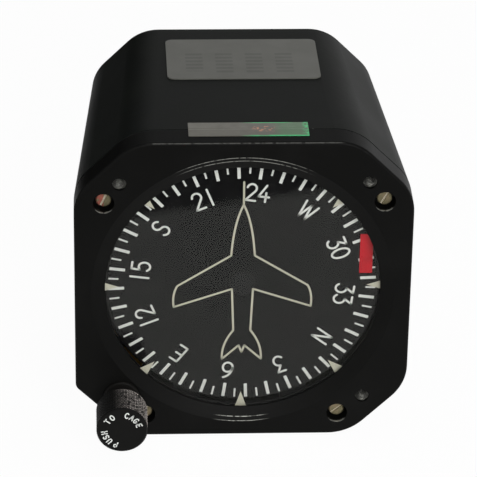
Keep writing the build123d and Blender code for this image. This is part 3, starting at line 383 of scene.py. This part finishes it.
def made_plain(holder):
    """Applies an object's modifiers and leaves a plain mesh piece."""
    graph = bpy.context.evaluated_depsgraph_get()
    mesh = bpy.data.meshes.new_from_object(holder.evaluated_get(graph))
    name = holder.name
    bpy.data.objects.remove(holder)
    piece = bpy.data.objects.new(name, mesh)
    scene.collection.objects.link(piece)
    return piece


def settle(piece, body):
    """Says which body a finished piece rides on."""
    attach(piece, body)


def paint(name, colour, roughness=0.62):
    """A thin screened ink, a little uneven where the mesh has laid it down."""
    finish = Finish(name, colour, roughness)
    thin = finish.noise(0.5 * mm, 4.0)
    darker = tuple(part * 0.72 for part in colour[:3]) + (1.0,)
    finish.feed("Base Color", finish.mix(thin.rise(0.5, 0.85), colour, darker))
    finish.feed("Roughness", roughness + thin * 0.15)
    return finish


ink_thickness = 0.03 * mm
index_base = 36.2 * mm
index_length = 4.4 * mm
index_width = 2.9 * mm
cream_ink = paint("cream_ink", shade(188, 186, 168))
index = Pattern("index_pattern", Count=7, Radius=index_base, Length=index_length, Width=index_width,
                Step=pi / 4, Depth=glass_rear - ink_thickness, Thickness=ink_thickness)
triangle = index.node("GeometryNodeMeshCylinder", {"fill_type": "NGON"}, {
    "Vertices": 3, "Radius": 1.0, "Depth": index.size("Thickness")})
plain_length = 1.5
plain_width = sqrt(3)
triangle_scale = index.vector(index.size("Length") / plain_length, index.size("Width") / plain_width, 1.0)
triangle = index.turned(triangle, (pi / 2, pi / 2, 0), triangle_scale)
triangle_height = index.size("Radius") - index.size("Length") / 3
triangle = index.moved(triangle, index.vector(0, index.size("Depth"), triangle_height))
index_marks = index.wheel(triangle, index.size("Count"), index.size("Step"), index.size("Step"))
settle(index.piece("index_triangles", index_marks, cream_ink), "casing")


# Insert threads
# The thread that a tap has cut in each mounting insert: one spiral ridge down its bore, in steel darkened
# with painted shade, as it lies deep in the bore.
insert_low, insert_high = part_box("mounting_inserts")
insert_circle_radius = 44.45 * mm
thread_pitch = 0.79 * mm
thread_radius = 1.62 * mm
ridge_radius = 0.11 * mm
thread_length = insert_high[1] - insert_low[1] - thread_pitch
thread = Pattern("thread_pattern", Count=3, Start=-pi / 4, Step=pi / 2, Circle=insert_circle_radius,
                 Radius=thread_radius, Ridge=ridge_radius, Turns=thread_length / thread_pitch,
                 Length=thread_length, Depth=insert_low[1] + thread_pitch / 2)
spiral = thread.node("GeometryNodeCurveSpiral", {}, {
    "Resolution": 28, "Rotations": thread.size("Turns"), "Start Radius": thread.size("Radius"),
    "End Radius": thread.size("Radius"), "Height": thread.size("Length")})
ridge = thread.node("GeometryNodeCurvePrimitiveCircle", {}, {"Resolution": 5, "Radius": thread.size("Ridge")})
ridge = thread.node("GeometryNodeCurveToMesh", {}, {"Curve": spiral, "Profile Curve": ridge})
ridge = thread.turned(ridge, (-pi / 2, 0, 0), (1, 1, 1))
ridge = thread.moved(ridge, thread.vector(0, thread.size("Depth"), thread.size("Circle")))
threads = thread.wheel(ridge, thread.size("Count"), thread.size("Start"), thread.size("Step"))
# Painted shade: dark steel for the ridges deep in the bores.
thread_steel = metal("thread_steel", shade(120, 120, 116), shade(34, 34, 32), 0.3, 0.6 * mm)
settle(thread.piece("insert_threads", threads, thread_steel), "casing")


# Aeroplane symbol and lubber line
# The outline of an aeroplane seen from above, with a short line over its nose. It is screened on
# the back of the glass in the same cream paint, so it stays put while the card turns behind it.
def bend(x, z, across, up, start, end, steps=14):
    """Points along part of an ellipse, from one angle to another in degrees."""
    turns = [radians(start + (end - start) * step / steps) for step in range(steps + 1)]
    return [(x + across * cos(turn), z + up * sin(turn)) for turn in turns]


def sweep(first, pull, last, steps=12):
    """Points along a curve that leaves the first point towards the pull point and ends at the last."""
    shares = [step / steps for step in range(steps + 1)]
    return [tuple((1 - s) ** 2 * a + 2 * s * (1 - s) * b + s ** 2 * c for a, b, c in zip(first, pull, last))
            for s in shares]


smooth_limit = 0.8


def smooth_runs(points):
    """Cuts a line of points at its corners, where the turn's cosine is under the limit."""
    runs = [[points[0]]]
    for before, here, after in zip(points, points[1:], points[2:]):
        runs[-1].append(here)
        turn = atan2(after[1] - here[1], after[0] - here[0]) - atan2(here[1] - before[1], here[0] - before[0])
        if cos(turn) < smooth_limit:
            runs.append([here])
    runs[-1].append(points[-1])
    return runs


def draw_run(ink, points, width, place, closed=False):
    """Lays one smooth stroke of ink, with round ends unless it closes on itself."""
    count = len(points)
    sides = []
    for number, (x, z) in enumerate(points):
        before = points[(number - 1) % count] if closed or number else points[0]
        after = points[(number + 1) % count] if closed or number < count - 1 else points[-1]
        along = Vector((after[0] - before[0], after[1] - before[1])).normalized()
        step = Vector((-along.y, along.x)) * width / 2
        left = ink.verts.new(place(x + step.x, z + step.y))
        right = ink.verts.new(place(x - step.x, z - step.y))
        sides.append((left, right))
    pairs = list(zip(sides, sides[1:] + sides[:1])) if closed else list(zip(sides, sides[1:]))
    for (left, right), (next_left, next_right) in pairs:
        ink.faces.new((left, right, next_right, next_left))
    if closed:
        return
    for (x, z), other, (left, right), facing in ((points[0], points[1], sides[0], -1),
                                                (points[-1], points[-2], sides[-1], 1)):
        away = atan2(z - other[1], x - other[0])
        rim = [(x + width / 2 * cos(away + turn), z + width / 2 * sin(away + turn))
               for turn in (-pi / 3, -pi / 6, 0, pi / 6, pi / 3)]
        cap = [ink.verts.new(place(px, pz)) for px, pz in rim]
        ends = [right, *cap, left] if facing > 0 else [left, *cap, right]
        ink.faces.new(ends)


def inked(name, strokes, width, place, finish):
    """A piece of flat ink from strokes, each a line of points and whether it closes on itself."""
    ink = bmesh.new()
    for points, closed in strokes:
        for run in [points] if closed else smooth_runs(points):
            draw_run(ink, run, width, place, closed)
    bmesh.ops.recalc_face_normals(ink, faces=ink.faces)
    mesh = bpy.data.meshes.new(name)
    ink.to_mesh(mesh)
    ink.free()
    mesh.materials.append(finish.material)
    holder = bpy.data.objects.new(name, mesh)
    scene.collection.objects.link(holder)
    layer = holder.modifiers.new("ink", "SOLIDIFY")
    layer.thickness = ink_thickness
    layer.offset = 0
    return made_plain(holder)


symbol_width = 0.52 * mm
nose = (0, 23.5)
wing_front_root = (3.0, 8.8)
wing_front_tip = (16.7, 0)
wing_rear_tip = (17.6, -6.2)
wing_rear_root = (2.7, -1.0)
tail_root = (2.2, -13.3)
tail_tip = (5.05, -21.9)
tail_notch = (0.73, -17.8)
tail_middle = (0, -19.9)
right_half = (sweep(nose, (2.4, 18.5), wing_front_root) + sweep(wing_front_tip, (18.1, -2.6), wing_rear_tip)
              + [wing_rear_root] + sweep(tail_root, (5.3, -17.4), tail_tip) + [tail_notch, tail_middle])
left_half = [(-x, z) for x, z in right_half]
lubber_line = [(0, 30.0), nose]


def on_glass(x, z):
    return x * mm, glass_rear + ink_thickness, z * mm


symbol = inked("aeroplane_symbol", [(right_half, False), (left_half, False), (lubber_line, False)],
               symbol_width / mm, on_glass, cream_ink)
settle(symbol, "casing")


# Heading card
# A thin aluminium disc in a dead matt black. Its marks are screened in white: a wide tick each
# 10 degrees, a fine one at each 5 degrees between, and numbers in tens of degrees and N, E, S, W.
card_black = Finish("card_black", shade(17, 17, 17), 0.9, Specular_IOR_Level=0.1)
card_tone = card_black.noise(6 * mm, 4.0)
card_black.feed("Base Color", card_black.mix(card_tone.rise(0.4, 0.8), shade(15, 15, 16), shade(22, 22, 22)))
card_black.bump(card_black.noise(0.2 * mm), 0.006 * mm)
dress(card_black, "heading_card")
card_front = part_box("heading_card")[0][1]
heading_at_top = radians(232.3)
white_ink = paint("white_ink", shade(214, 216, 212), 0.7)


def ticks(name, step, first, width, length, outer):
    """A ring of ticks at each step of heading, from the first one on."""
    ring = Pattern(name, Count=round(2 * pi / step), Start=first - heading_at_top, Step=step, Width=width,
                   Length=length, Outer=outer, Depth=card_front, Thickness=ink_thickness)
    tick = ring.node("GeometryNodeMeshCube", {}, {
        "Size": ring.vector(ring.size("Width"), ring.size("Thickness"), ring.size("Length"))})
    height = ring.size("Outer") - ring.size("Length") * 0.5
    tick = ring.moved(tick, ring.vector(0, ring.size("Depth"), height))
    marks = ring.wheel(tick, ring.size("Count"), ring.size("Start"), ring.size("Step"))
    settle(ring.piece(name, marks, white_ink), "card")


tick_outer = 34.3 * mm
ten_degrees = pi / 18
ticks("ten_degree_ticks", ten_degrees, first=0.0, width=0.82 * mm, length=4.0 * mm, outer=tick_outer)
ticks("five_degree_ticks", ten_degrees, first=pi / 36, width=0.48 * mm, length=2.55 * mm, outer=tick_outer)

# Each sign is one unit high, with its middle at x = 0 and its foot at z = 0.
oval = (bend(0, 0.5, 0.26, 0.5, 0, 345, 23), True)
signs = {
    "0": [oval],
    "1": [([(0, 0), (0, 1)], False)],
    "2": [(bend(0, 0.74, 0.25, 0.26, 172, -32) + [(-0.26, 0), (0.27, 0)], False)],
    "3": [([(-0.2, 1), (0.24, 1), (-0.04, 0.6)] + bend(-0.02, 0.3, 0.27, 0.3, 84, -148)[1:], False)],
    "4": [([(0.1, 1), (-0.27, 0.3), (0.3, 0.3)], False), ([(0.12, 0.55), (0.12, 0)], False)],
    "5": [([(0.22, 1), (-0.18, 1), (-0.21, 0.54)] + bend(-0.01, 0.31, 0.27, 0.31, 108, -148), False)],
    "6": [(bend(0, 0.3, 0.27, 0.3, 0, 345, 23), True), (bend(0.34, 0.3, 0.61, 0.7, 180, 106), False)],
    "N": [([(-0.27, 0), (-0.27, 1), (0.27, 0), (0.27, 1)], False)],
    "E": [([(0.25, 1), (-0.22, 1), (-0.22, 0), (0.25, 0)], False), ([(-0.22, 0.52), (0.17, 0.52)], False)],
    "S": [(bend(0, 0.75, 0.24, 0.25, 30, 270) + bend(0, 0.25, 0.26, 0.25, 90, -150)[1:], False)],
    "W": [([(-0.4, 1), (-0.2, 0), (0, 0.93), (0.2, 0), (0.4, 1)], False)],
}


def lettering(name, words, height, width, spacing, radius, depth, middle, finish):
    """Words set round a circle with their tops outward, each at its own angle from the top."""
    strokes = []
    for word, angle in words:
        for number, sign in enumerate(word):
            shift = (number - (len(word) - 1) / 2) * spacing
            for points, closed in signs[sign]:
                turned = []
                for x, z in points:
                    across = x * height + shift
                    out = radius + (z - 0.5) * height
                    turned.append((middle[0] + across * cos(angle) + out * sin(angle),
                                   middle[1] - across * sin(angle) + out * cos(angle)))
                strokes.append((turned, closed))

    def placed(x, z):
        return x, depth, z

    return inked(name, strokes, width, placed, finish)


card_signs = ("N", "3", "6", "E", "12", "15", "S", "21", "24", "W", "30", "33")
card_words = [(word, radians(30 * place) - heading_at_top) for place, word in enumerate(card_signs)]
card_numbers = lettering("card_numbers", card_words, height=4.7 * mm, width=0.56 * mm, spacing=3.2 * mm,
                         radius=26.4 * mm, depth=card_front, middle=(0, 0), finish=white_ink)
settle(card_numbers, "card")


# Card hub
# The turned aluminium hub that carries the card, anodised black. Only its cap shows, as a faint
# disc on the card. The ring that holds the glass has the same finish.
hub_black = Finish("hub_anodised", shade(24, 24, 25), 0.55, Specular_IOR_Level=0.12)
hub_rings = hub_black.noise(0.3 * mm, 2.0, (1, 6, 1))
hub_black.feed("Roughness", 0.5 + hub_rings * 0.15)
dress(hub_black, "card_hub", "retaining_ring")


# Warning flag
# A tin blade in flat red paint, which swings out of sight when power is on.
flag_red = Finish("flag_red", shade(178, 24, 36), 0.6, Specular_IOR_Level=0.08)
flag_tone = flag_red.noise(3 * mm, 3.0)
flag_red.feed("Base Color", flag_red.mix(flag_tone.rise(0.35, 0.75), shade(184, 25, 38), shade(162, 20, 32)))
flag_red.feed("Roughness", 0.5 + flag_tone * 0.2)
dress(flag_red, "warning_flag")


# Knob
# Turned from aluminium bar, with a diamond knurl rolled into its side and a flat face, anodised black. The
# knurl's tips have worn to bare metal, and the bright tips are painted only on the right, as a painted
# highlight on the side the light falls on. It is fixed on its shaft by one set screw.
knob_low, knob_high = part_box("knob")
knob_x = (knob_low[0] + knob_high[0]) / 2
knob_z = (knob_low[2] + knob_high[2]) / 2
knob_radius = (knob_high[0] - knob_low[0]) / 2
knob_front = knob_low[1] + ink_thickness
knurl_starts = 56
knurl_depth = 0.22 * mm
knurl_pitch = 2 * pi * knob_radius / knurl_starts
knob_chamfer = 0.45 * mm
knurl_margin = 0.5 * mm
knurl_share_at_ends = 0.3
points_per_ridge = 5
knurl_segments = knurl_starts * points_per_ridge
knurled_length = knob_high[1] - knob_front - 2 * knob_chamfer
knurl_rows = round(knurled_length / (knurl_pitch / points_per_ridge))


def knurl(turn, depth):
    """Height of the diamond knurl, from 0 in its grooves to 1 on its tips."""
    phase = depth / knurl_pitch * 2 * pi
    one = abs((((turn * knurl_starts + phase) / (2 * pi)) % 1) * 2 - 1)
    other = abs((((turn * knurl_starts - phase) / (2 * pi)) % 1) * 2 - 1)
    return min(one, other)


def knob_ring(skin, depth, radius, rough):
    """One ring of points on the knob's side. The rough share fades the knurl out near the ends."""
    ring = []
    for number in range(knurl_segments):
        turn = 2 * pi * number / knurl_segments
        reach = radius - knurl_depth * (1 - knurl(turn, depth)) * rough
        ring.append(skin.verts.new((knob_x + reach * cos(turn), depth, knob_z + reach * sin(turn))))
    return ring


skin = bmesh.new()
rings = [knob_ring(skin, knob_front, knob_radius - knob_chamfer, 0)]
for number in range(knurl_rows + 1):
    depth = knob_front + knob_chamfer + knurled_length * number / knurl_rows
    from_end = min(depth - knob_front, knob_high[1] - depth) - knob_chamfer
    rough = min(1.0, from_end / knurl_margin + knurl_share_at_ends)
    rings.append(knob_ring(skin, depth, knob_radius, rough))
rings.append(knob_ring(skin, knob_high[1], knob_radius - knob_chamfer, 0))
for near, far in zip(rings, rings[1:]):
    for number in range(knurl_segments):
        after = (number + 1) % knurl_segments
        skin.faces.new((near[number], near[after], far[after], far[number]))
skin.faces.new(rings[0])
skin.faces.new(rings[-1])
bmesh.ops.recalc_face_normals(skin, faces=skin.faces)
knob_mesh = bpy.data.meshes.new("knurled_knob")
skin.to_mesh(knob_mesh)
skin.free()
knob_piece = bpy.data.objects.new("knurled_knob", knob_mesh)
scene.collection.objects.link(knob_piece)

knob_black = Finish("knob_anodised", shade(15, 15, 14), 0.42, Specular_IOR_Level=0.07)
knob_across, knob_depth, knob_up = knob_black.axes()
aside = knob_across - knob_x
above = knob_up - knob_z
from_axis = (aside * aside + above * above).root()
tips = from_axis.rise(knob_radius - knurl_depth * 0.75, knob_radius - knurl_depth * 0.05)
tips = tips * (knob_depth - knob_front).rise(knob_chamfer, knob_chamfer * 1.6)
tips = tips * (knob_high[1] - knob_depth).rise(knob_chamfer, knob_chamfer * 1.6)
# Painted highlight: the bare tips show only on the right, the side the light falls on.
lit_side = aside.rise(-0.4 * knob_radius, 0.5 * knob_radius)
worn_and_lit_tips = tips * lit_side * knob_black.noise(0.9 * mm, 5.0).rise(0.36, 0.54)
knob_black.feed("Base Color", knob_black.mix(worn_and_lit_tips, shade(15, 15, 14), shade(236, 226, 220)))
knob_black.feed("Metallic", worn_and_lit_tips * 0.4)
knob_black.feed("Roughness", 0.42 + knob_black.noise(1.5 * mm) * 0.12)
knob_mesh.materials.append(knob_black.material)
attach(knob_piece, "knob")
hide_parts("knob")
dress(knob_black, "knob")

# The legend round the knob's face, engraved and filled with white.
signs.update({
    "P": [([(-0.24, 0), (-0.24, 1), (0.0, 1)] + bend(0.02, 0.74, 0.25, 0.26, 84, -90)
           + [(-0.24, 0.48)], False)],
    "U": [([(-0.26, 1)] + bend(0, 0.28, 0.26, 0.28, 180, 360) + [(0.26, 1)], False)],
    "H": [([(-0.25, 0), (-0.25, 1)], False), ([(0.25, 0), (0.25, 1)], False),
          ([(-0.25, 0.5), (0.25, 0.5)], False)],
    "T": [([(-0.29, 1), (0.29, 1)], False), ([(0, 1), (0, 0)], False)],
    "O": [(bend(0, 0.5, 0.3, 0.5, 0, 345, 23), True)],
    "C": [(bend(0.04, 0.5, 0.31, 0.5, 48, 312, 22), False)],
    "A": [([(-0.3, 0), (0, 1), (0.3, 0)], False), ([(-0.19, 0.34), (0.19, 0.34)], False)],
    "G": [(bend(0.02, 0.5, 0.3, 0.5, 50, 325, 22) + [(0.28, 0.44), (0.04, 0.44)], False)],
})
legend_angles = (-158.6, -134.5, -116.2, -98.3, -54.3, -33.5, 15.5, 34.1, 51.6, 71.1)
legend = [(sign, radians(angle)) for sign, angle in zip("PUSHTOCAGE", legend_angles)]
knob_legend = lettering("knob_legend", legend, height=1.45 * mm, width=0.32 * mm, spacing=0,
                        radius=4.55 * mm, depth=knob_front, middle=(knob_x, knob_z), finish=white_ink)
settle(knob_legend, "knob")


# Knob bush
# A brass bush pressed into the bezel, blackened, which the knob's shaft turns and slides in.
bush_black = Finish("blackened_brass", shade(16, 15, 13), 0.5, Specular_IOR_Level=0.1)
bush_black.feed("Roughness", 0.45 + bush_black.noise(0.8 * mm) * 0.2)
dress(bush_black, "knob_bush")


# Data plate
# A grey printed foil on the case's top, with four columns of short plain bars. The columns start
# at slightly different heights.
plate_low, plate_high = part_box("data_plate")
plate_grey = Finish("plate_grey", shade(100, 100, 92), 0.5)
plate_tone = plate_grey.noise(7 * mm, 4.0)
plate_across, plate_along = plate_grey.axes()[:2]
column_margin = 5 * mm
row_margin = 3 * mm
column_pitch = 7.9 * mm
row_pitch = 2.4 * mm
column_count = 4
row_count = 6
column = (plate_across - plate_low[0] - column_margin) / column_pitch
row = (plate_along - plate_low[1] - row_margin) / row_pitch
column_number = column - column.fraction()
first_row = 0.8 - column_number * 0.7 + column_number * column_number * 0.2
bars = column.fraction().rise(0.6, 0.54) * row.fraction().rise(0.4, 0.5)
bars = bars * (column > 0) * (column < column_count) * (row > first_row) * (row < row_count)
plain = plate_grey.mix(plate_tone, shade(91, 91, 85), shade(82, 82, 76))
plate_grey.feed("Base Color", plate_grey.mix(bars * 0.5, plain, shade(58, 59, 53)))
plate_grey.feed("Roughness", 0.42 + plate_tone * 0.15)
dress(plate_grey, "data_plate")


# Tamper seal
# A strip of silvered film stuck over the seam, with pink flecks. A green sheen is painted at its right end
# and edges, and the seam shows through as a shallow crease.
seal_low, seal_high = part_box("tamper_seal")
seal = Finish("seal_film", shade(125, 122, 115), 0.35, Metallic=0.35)
seal_across, seal_along = seal.axes()[:2]
seal_middle = (seal_low[1] + seal_high[1]) / 2
along = (seal_across - seal_low[0]) / (seal_high[0] - seal_low[0])
over = abs((seal_along - seal_middle) / (seal_high[1] - seal_middle))
# Painted sheen: bright green along the right half's edges and at the right end.
sheen = over.rise(0.84, 0.98) * along.rise(0.42, 0.56) * seal.noise(4 * mm).rise(0.3, 0.5)
end_sheen = along.rise(0.94, 0.98) * seal.noise(0.7 * mm, 4.0).rise(0.46, 0.56)
flecks = along.rise(0.5, 0.6) * along.rise(0.76, 0.68) * over.rise(0.5, 0.2)
flecks = flecks * seal.noise(0.9 * mm, 5.0).rise(0.52, 0.6)
film = seal.mix(seal.noise(2.5 * mm, 4.0), shade(122, 120, 111), shade(104, 101, 93))
film = seal.mix(flecks, film, shade(206, 150, 122))
# Painted sheen: a green tint over the right end of the film.
film = seal.mix(along.rise(0.68, 0.8) * 0.6, film, shade(96, 138, 102))
seal.feed("Base Color", seal.mix(sheen.greatest(end_sheen), film, shade(92, 205, 136)))
crease = abs(seal_along - case_low[1]).rise(0.5 * mm, 0)
seal.feed("Roughness", 0.3 + seal.noise(2 * mm) * 0.25)
seal.bump(seal.noise(3 * mm) * 0.4 - crease, 0.08 * mm)
dress(seal, "tamper_seal")


# Rear connector
# A square-flanged round shell in olive cadmium plate, with three bayonet pins, a dark moulded
# insert and six gold-plated contact pins.
olive = metal("olive_cadmium", shade(118, 116, 84), shade(84, 84, 62), 0.42)
dress(olive, "connector_shell")
insulator = Finish("moulded_insulator", shade(34, 40, 36), 0.5)
insulator.feed("Roughness", 0.45 + insulator.noise(2 * mm) * 0.15)
insulator.bump(insulator.noise(0.3 * mm), 0.01 * mm)
dress(insulator, "connector_insert", "brush_block")
contact_gold = metal("contact_gold", shade(222, 184, 98), shade(196, 156, 78), 0.2)
dress(contact_gold, "connector_pins", "slip_rings")


# Frames, gears and motor
# Inside the case: milled aluminium frames and gimbals, brass gears and rotor, and the windings.
# The front plate and its posts are black, so that they stay dark behind the card's rim.
aluminium = metal("milled_aluminium", shade(190, 191, 192), shade(165, 166, 166), 0.34)
dress(hub_black, "front_plate", "plate_posts")
dress(aluminium, "upper_frame_arm", "lower_frame_arm", "gimbal_ring", "caging_disc",
      "rotor_housing", "housing_cover", "spring_bracket", "lever_bracket")
brass = metal("cut_brass", shade(206, 170, 96), shade(170, 132, 70), 0.28)
dress(brass, "setting_gear", "card_bevel_gear", "idler_gear", "gimbal_bevel_gear", "rotor_wheel")
windings = Finish("copper_windings", shade(150, 78, 44), 0.4, Metallic=0.6)
wire = windings.noise(0.3 * mm, 2.0, (6, 1, 6))
windings.feed("Base Color", windings.mix(wire, shade(158, 84, 48), shade(96, 46, 28)))
windings.bump(wire, 0.05 * mm)
dress(windings, "motor_stator", "flag_coil")


# Floor, room and lamps
# A pale floor and a pale backdrop round the horizon under a dim ceiling, with broad soft lamps.
# Dark cards lie where only mirrors see them: before the glass, and beside and behind on the left.
def seen_directly(wiring):
    """1 for rays that show a background: straight, by a mirror or through glass."""
    path = wiring.node("ShaderNodeLightPath", {}, {}).socket.node.outputs
    rays = [Value(wiring, path[name]) for name in ("Is Camera Ray", "Is Glossy Ray", "Is Transmission Ray")]
    return rays[0].greatest(rays[1]).greatest(rays[2])


floor_level = cad_box[0][2]
floor_reach = 3.0
floor_whiteness = 0.96
bpy.ops.mesh.primitive_plane_add(size=2 * floor_reach, location=(0, 0, floor_level))
floor = bpy.context.object
floor.name = "pale_floor"
floor_finish = Finish("pale_floor", (0.86, 0.86, 0.85, 1), 0.8)
floor_glow = floor_finish.node("ShaderNodeEmission", {}, {"Color": (1, 1, 1, 1), "Strength": 1.0})
floor_seen = seen_directly(floor_finish) * floor_whiteness
floor_share = floor_finish.node("ShaderNodeMixShader", {}, {
    0: floor_seen, 1: Value(floor_finish, floor_finish.shader.outputs[0]), 2: floor_glow})
floor_finish.join(floor_share, floor_finish.tree.nodes["Material Output"].inputs["Surface"])
floor.data.materials.append(floor_finish.material)

world = bpy.data.worlds.new("room")
scene.world = world
world.use_nodes = True
room = Wiring(world.node_tree)
world.node_tree.nodes.clear()
sky = room.node("ShaderNodeTexCoord", {}, {}, "Generated")
height = Value(room, room.node("ShaderNodeSeparateXYZ", {}, {0: sky}).socket.node.outputs[2])
dim = room.node("ShaderNodeBackground", {}, {"Color": (0.26, 0.265, 0.27, 1), "Strength": 1.0})
white = room.node("ShaderNodeBackground", {}, {"Color": (1, 1, 1, 1), "Strength": 1.0})
backdrop = seen_directly(room) * height.rise(0.35, 0.2)
room_shader = room.node("ShaderNodeMixShader", {}, {0: backdrop, 1: dim, 2: white})
room_out = world.node_tree.nodes.new("ShaderNodeOutputWorld")
room.join(room_shader, room_out.inputs[0])


def lamp(name, place, size, power):
    """A square soft lamp that faces the object."""
    light = bpy.data.lights.new(name, "AREA")
    light.shape = "SQUARE"
    light.size = size
    light.energy = power
    holder = bpy.data.objects.new(name, light)
    holder.location = place
    holder.rotation_euler = Vector(place).to_track_quat("Z", "Y").to_euler()
    scene.collection.objects.link(holder)


def dark_card(name, corners):
    """A black card that only mirrors see."""
    mesh = bpy.data.meshes.new(name)
    mesh.from_pydata([[part * mm for part in corner] for corner in corners], [], [range(len(corners))])
    mesh.materials.append(card_paper.material)
    card = bpy.data.objects.new(name, mesh)
    scene.collection.objects.link(card)
    for kind in ("camera", "diffuse", "transmission", "volume_scatter", "shadow"):
        setattr(card, "visible_" + kind, False)


lamp("front_lamp", place=(0.15, -0.8, 0.45), size=0.5, power=7.0)
lamp("overhead_lamp", place=(0.1, 0.1, 1.0), size=0.7, power=2.4)
lamp("right_lamp", place=(0.9, 0.3, 0.2), size=0.6, power=1.5)
card_paper = Finish("dark_paper", shade(12, 12, 11), 0.9, Specular_IOR_Level=0.0)
card_level = floor_level / mm + 1
dark_card("dark_card_before", [(-150, -77, card_level), (150, -162, card_level), (150, -700, card_level),
                               (-150, -700, card_level)])
dark_card("dark_card_beside", [(-600, 20, card_level), (-120, 20, card_level), (-120, 400, card_level),
                               (-600, 400, card_level)])
dark_card("dark_card_behind", [(-500, 250, card_level), (-60, 450, card_level), (-60, 450, 200),
                               (-500, 250, 200)])


# Camera
# A long lens looks down on the instrument from in front, as in the photograph.
image_width = 477
focal_pixels = 3168
sensor_width = 36.0
turn_left = radians(-2.88)
look_down = radians(29.1)
roll = radians(0.95)
camera_distance = 0.8
aim = Vector((-1.4 * mm, 0, 15.75 * mm))
back = Vector((sin(turn_left) * cos(look_down), -cos(turn_left) * cos(look_down), sin(look_down)))
level_right = Vector((cos(turn_left), sin(turn_left), 0))
level_up = back.cross(level_right)
right = level_right * cos(roll) + level_up * sin(roll)
up = level_up * cos(roll) - level_right * sin(roll)
camera_data = bpy.data.cameras.new("camera")
camera_data.sensor_width = sensor_width
camera_data.lens = focal_pixels / image_width * sensor_width
camera_data.clip_start = 0.01
camera_data.clip_end = 20.0
camera = bpy.data.objects.new("camera", camera_data)
camera_turn = Matrix((right, up, back)).transposed().to_4x4()
camera.matrix_world = Matrix.Translation(aim + back * camera_distance) @ camera_turn
scene.collection.objects.link(camera)
scene.camera = camera
scene.view_settings.view_transform = "Standard"
